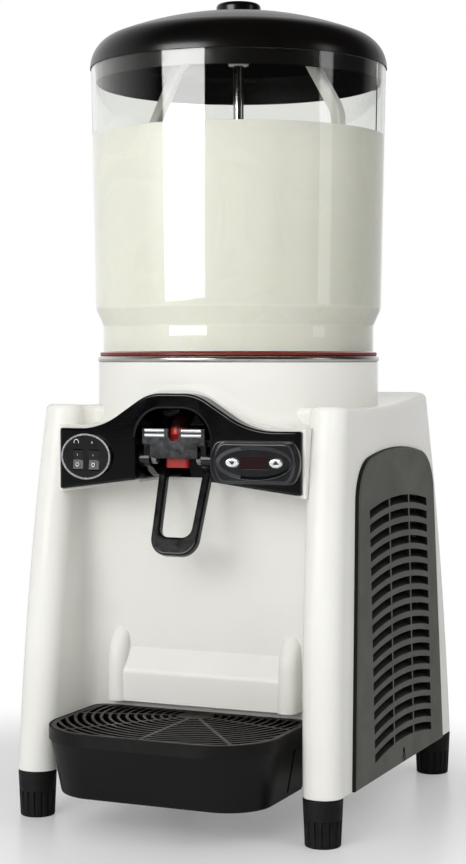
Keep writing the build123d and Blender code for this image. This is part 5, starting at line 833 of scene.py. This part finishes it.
dress(sealRubber, "shaft_seal", "compressor_mounts", "cord_gland")
dress(foamCells, "insulation_ring")
print("frame dressed")


# hand tools for the pieces modelled here

smoothUnder = 30  # degrees: edges flatter than this are shaded round


def workOn(piece):
    bpy.ops.object.select_all(action="DESELECT")
    piece.select_set(True)
    bpy.context.view_layer.objects.active = piece


def startPiece(vertices, radius, fill="NGON", place=(0, 0, 0)):
    bpy.ops.object.select_all(action="DESELECT")
    bpy.ops.mesh.primitive_circle_add(
        vertices=vertices, radius=radius, fill_type=fill, location=place
    )
    bpy.ops.object.mode_set(mode="EDIT")
    return bpy.context.object


def pickVertices(piece, test):
    bpy.ops.mesh.select_mode(type="VERT")
    bpy.ops.mesh.select_all(action="DESELECT")
    mesh = bmesh.from_edit_mesh(piece.data)
    for vertex in mesh.verts:
        vertex.select_set(test(vertex.co))
    mesh.select_flush(True)
    bmesh.update_edit_mesh(piece.data)


def thicken(rise):
    bpy.ops.mesh.select_all(action="SELECT")
    bpy.ops.mesh.extrude_region_move(TRANSFORM_OT_translate={"value": (0, 0, rise)})


def closeUp():
    bpy.ops.mesh.select_all(action="SELECT")
    bpy.ops.mesh.normals_make_consistent(inside=False)
    bpy.ops.object.mode_set(mode="OBJECT")


def settle(piece, name, body, material, spot=None):
    piece.name = name
    piece.data.name = name
    bpy.context.view_layer.update()
    if spot is not None:
        piece.matrix_world = spot @ piece.matrix_world
    workOn(piece)
    bpy.ops.object.transform_apply(location=True, rotation=True, scale=True)
    bpy.ops.object.shade_smooth_by_angle(angle=radians(smoothUnder))
    piece.data.materials.clear()
    piece.data.materials.append(material)
    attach(piece, body)


# the drink: wets the bowl's wall from the gasket to the fill line, with a lip at its edge
drinkPlan = {
    "axis": (0.0, 0.014), "sides": 144, "foot": 0.4218, "lip": 0.003, "lipDrop": 0.001,
    "levels": [
        (0.44418, 0.12375), (0.44527, 0.12383), (0.44635, 0.12405), (0.44738, 0.12442),
        (0.46039, 0.13011), (0.46137, 0.13047), (0.46240, 0.13069), (0.46345, 0.13078),
        (0.6226, 0.13364),
    ],  # height and radius, a quarter millimetre into the wall
}
below, girth = drinkPlan["foot"], drinkPlan["levels"][0][1]
drink = startPiece(drinkPlan["sides"], girth, place=(*drinkPlan["axis"], below))
for height, radius in drinkPlan["levels"]:
    bpy.ops.mesh.extrude_region_move(TRANSFORM_OT_translate={"value": (0, 0, height - below)})
    bpy.ops.transform.resize(
        value=(radius / girth, radius / girth, 1), center_override=(*drinkPlan["axis"], height)
    )
    below, girth = height, radius
bpy.ops.mesh.inset(thickness=drinkPlan["lip"], depth=-drinkPlan["lipDrop"])
closeUp()
settle(drink, "drink", "bowl", milkDrink)
print("drink poured")

# signs printed on the switch plate, the rockers and the thermostat's buttons
fasciaBow = {"radius": 0.7, "centreY": 0.566}


def panelSpot(x, z, across, up, out, lean=0.0):
    turn = asin(x / fasciaBow["radius"])
    base = Matrix.Translation((x, fasciaBow["centreY"] - fasciaBow["radius"] * cos(turn), z))
    axes = Matrix(((cos(turn), 0, sin(turn)), (sin(turn), 0, -cos(turn)), (0, 1, 0))).to_4x4()
    offset = Matrix.Translation((across * mm, up * mm, out * mm))
    return base @ axes @ offset @ Matrix.Rotation(radians(lean), 4, "X")


# places on the fascia in metres, all else in millimetres and degrees
signPlan = {
    "ink": 0.08, "ringSides": 32, "switches": (-0.0855, 0.328), "thermostat": (0.078, 0.326),
    "rockers": {"rocker_stir": -8.5, "rocker_cool": 8.5}, "rockerUp": -3.0,
    "lowFacet": (-4.25, 3.1, -7.8), "highFacet": (4.25, 3.1, 7.8),
    "offRing": (1.9, 0.6), "onBar": (1.9, 0.35, 1),
    "stirAt": (-10.5, 12.6, 2.0), "stirRing": (2.8, 0.6), "stirGap": -1.2,
    "coolAt": (6.5, 12.6, 2.0), "coolBars": (2.4, 0.2, 3),
    "buttons": {"button_down": (-19.5, -1), "button_up": (19.5, 1)}, "buttonTop": 5.8,
    "arrow": 2.6, "arrowWide": 1.3, "arrowHigh": 0.9,
}


def printRing(name, body, radius, line, spot, gapBelow=None):
    ring = startPiece(signPlan["ringSides"], radius * mm, fill="NOTHING")
    if gapBelow is not None:
        pickVertices(ring, lambda co: co.y < gapBelow * mm)
        bpy.ops.mesh.delete(type="VERT")
        bpy.ops.mesh.select_all(action="SELECT")
    inner = 1 - line / radius
    bpy.ops.mesh.extrude_region_move()
    bpy.ops.transform.resize(value=(inner, inner, 1), center_override=(0, 0, 0))
    thicken(signPlan["ink"] * mm)
    closeUp()
    settle(ring, name, body, whiteInk, spot)


def printBars(name, body, length, line, turns, spot):
    narrow = 0.707  # the four-cornered circle, turned square, is 1.414 times as wide as the line
    bars = startPiece(4, line * mm)
    bpy.ops.transform.rotate(value=radians(45), orient_axis="Z", center_override=(0, 0, 0))
    bpy.ops.transform.resize(
        value=(narrow, narrow * length / line, 1), center_override=(0, 0, 0)
    )
    thicken(signPlan["ink"] * mm)
    bpy.ops.mesh.select_all(action="SELECT")
    for _ in range(turns - 1):
        bpy.ops.mesh.duplicate()  # the new bar stays selected, and the next one starts from it
        bpy.ops.transform.rotate(
            value=radians(180 / turns), orient_axis="Z", center_override=(0, 0, 0)
        )
    closeUp()
    settle(bars, name, body, whiteInk, spot)


for body, across in signPlan["rockers"].items():
    up, out, lean = signPlan["lowFacet"]
    offSpot = panelSpot(*signPlan["switches"], across, signPlan["rockerUp"] + up, out, lean)
    printRing("offSign." + body, body, *signPlan["offRing"], offSpot)
    up, out, lean = signPlan["highFacet"]
    onSpot = panelSpot(*signPlan["switches"], across, signPlan["rockerUp"] + up, out, lean)
    printBars("onSign." + body, body, *signPlan["onBar"], onSpot)
stirSpot = panelSpot(*signPlan["switches"], *signPlan["stirAt"])
printRing("stirSign", "cabinet", *signPlan["stirRing"], stirSpot, gapBelow=signPlan["stirGap"])
coolSpot = panelSpot(*signPlan["switches"], *signPlan["coolAt"])
printBars("coolSign", "cabinet", *signPlan["coolBars"], coolSpot)

for body, (across, flip) in signPlan["buttons"].items():
    arrow = startPiece(3, signPlan["arrow"] * mm)
    bpy.ops.transform.resize(
        value=(signPlan["arrowWide"], signPlan["arrowHigh"] * flip, 1), center_override=(0, 0, 0)
    )
    thicken(signPlan["ink"] * mm)
    closeUp()
    arrowSpot = panelSpot(*signPlan["thermostat"], across, 0.0, signPlan["buttonTop"])
    settle(arrow, "arrowSign." + body, body, blackInk, arrowSpot)
print("signs printed")

# pan-head screws with a cross recess, in place of the plain ones
# shape in millimetres; places in metres, and which way each head faces
screwPlan = {
    "sides": 28, "tip": (-14.0, 1.2), "turn": 37,
    "profile": [
        (-12.5, 2.0), (0.0, 2.0), (0.0, 4.0), (1.1, 4.0), (1.6, 3.6), (1.9, 2.8), (2.0, 1.9)
    ],
    "recess": (4.4, 0.95, 2.0), "recessTop": 2.4, "recessTaper": 0.6,
    "panelX": 0.108, "panelRows": [
        ((0.19997, 0.0720), (0.9971, 0.0767)),
        ((0.18361, 0.2095), (0.9872, 0.1594)),
        ((0.15541, 0.3470), (0.9703, 0.2420)),
    ],
    "baseX": 0.110, "baseRows": [(-0.044, 0.042), (0.170, 0.042)],
    "grilleX": 0.158354, "grilleRow": (0.0288, 0.04755), "grilleFacing": (0.99965, 0, 0.02638),
}
below, girth = screwPlan["tip"]
screw = startPiece(screwPlan["sides"], girth * mm, place=(0, 0, below * mm))
for height, radius in screwPlan["profile"]:
    bpy.ops.mesh.extrude_region_move(
        TRANSFORM_OT_translate={"value": (0, 0, (height - below) * mm)}
    )
    bpy.ops.transform.resize(
        value=(radius / girth, radius / girth, 1), center_override=(0, 0, height * mm)
    )
    below, girth = height, radius
closeUp()
# its seat under the head becomes the origin
bpy.ops.object.transform_apply(location=True, rotation=False, scale=False)
long, wide, deep = screwPlan["recess"]
for bladeSize in ((long, wide, deep), (wide, long, deep)):
    bpy.ops.object.select_all(action="DESELECT")
    bpy.ops.mesh.primitive_cube_add(
        size=mm, location=(0, 0, (screwPlan["recessTop"] - deep / 2) * mm)
    )
    blade = bpy.context.object
    bpy.ops.object.mode_set(mode="EDIT")
    bpy.ops.transform.resize(value=bladeSize)
    pickVertices(blade, lambda co: co.z < 0)
    bpy.ops.transform.resize(value=(screwPlan["recessTaper"], screwPlan["recessTaper"], 1))
    bpy.ops.object.mode_set(mode="OBJECT")
    workOn(screw)
    bite = screw.modifiers.new("crossRecess", "BOOLEAN")
    bite.operation = "DIFFERENCE"
    bite.object = blade
    bpy.ops.object.modifier_apply(modifier=bite.name)
    bpy.data.objects.remove(blade)

caseSpots, grilleSpots = [], []
for side in (-1, 1):
    for row, facing in screwPlan["panelRows"]:
        caseSpots.append(((side * screwPlan["panelX"], *row), (0, *facing)))
for side in (-1, 1):
    for row in screwPlan["baseRows"]:
        caseSpots.append(((side * screwPlan["baseX"], *row), (0, 0, -1)))
for side in (-1, 1):
    out, along, up = screwPlan["grilleFacing"]
    grilleSpots.append(
        ((side * screwPlan["grilleX"], *screwPlan["grilleRow"]), (side * out, along, up))
    )


def driveScrews(name, spots, material):
    driven = []
    for number, (spot, facing) in enumerate(spots):
        workOn(screw)
        bpy.ops.object.duplicate(linked=False)
        copy = bpy.context.object
        aim = Vector(facing).to_track_quat("Z", "Y").to_matrix().to_4x4()
        turn = Matrix.Rotation(radians(screwPlan["turn"] * number), 4, "Z")
        copy.matrix_world = Matrix.Translation(spot) @ aim @ turn
        driven.append(copy)
    bpy.ops.object.select_all(action="DESELECT")
    for copy in driven:
        copy.select_set(True)
    bpy.context.view_layer.objects.active = driven[0]
    bpy.ops.object.join()
    settle(driven[0], name, "cabinet", material)
    return driven[0]


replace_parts(driveScrews("caseScrews", caseSpots, zincPlate), "case_screws")
driveScrews("grilleScrews", grilleSpots, blackSteel)
bpy.data.objects.remove(screw)
print("screws driven:", len(caseSpots) + len(grilleSpots))
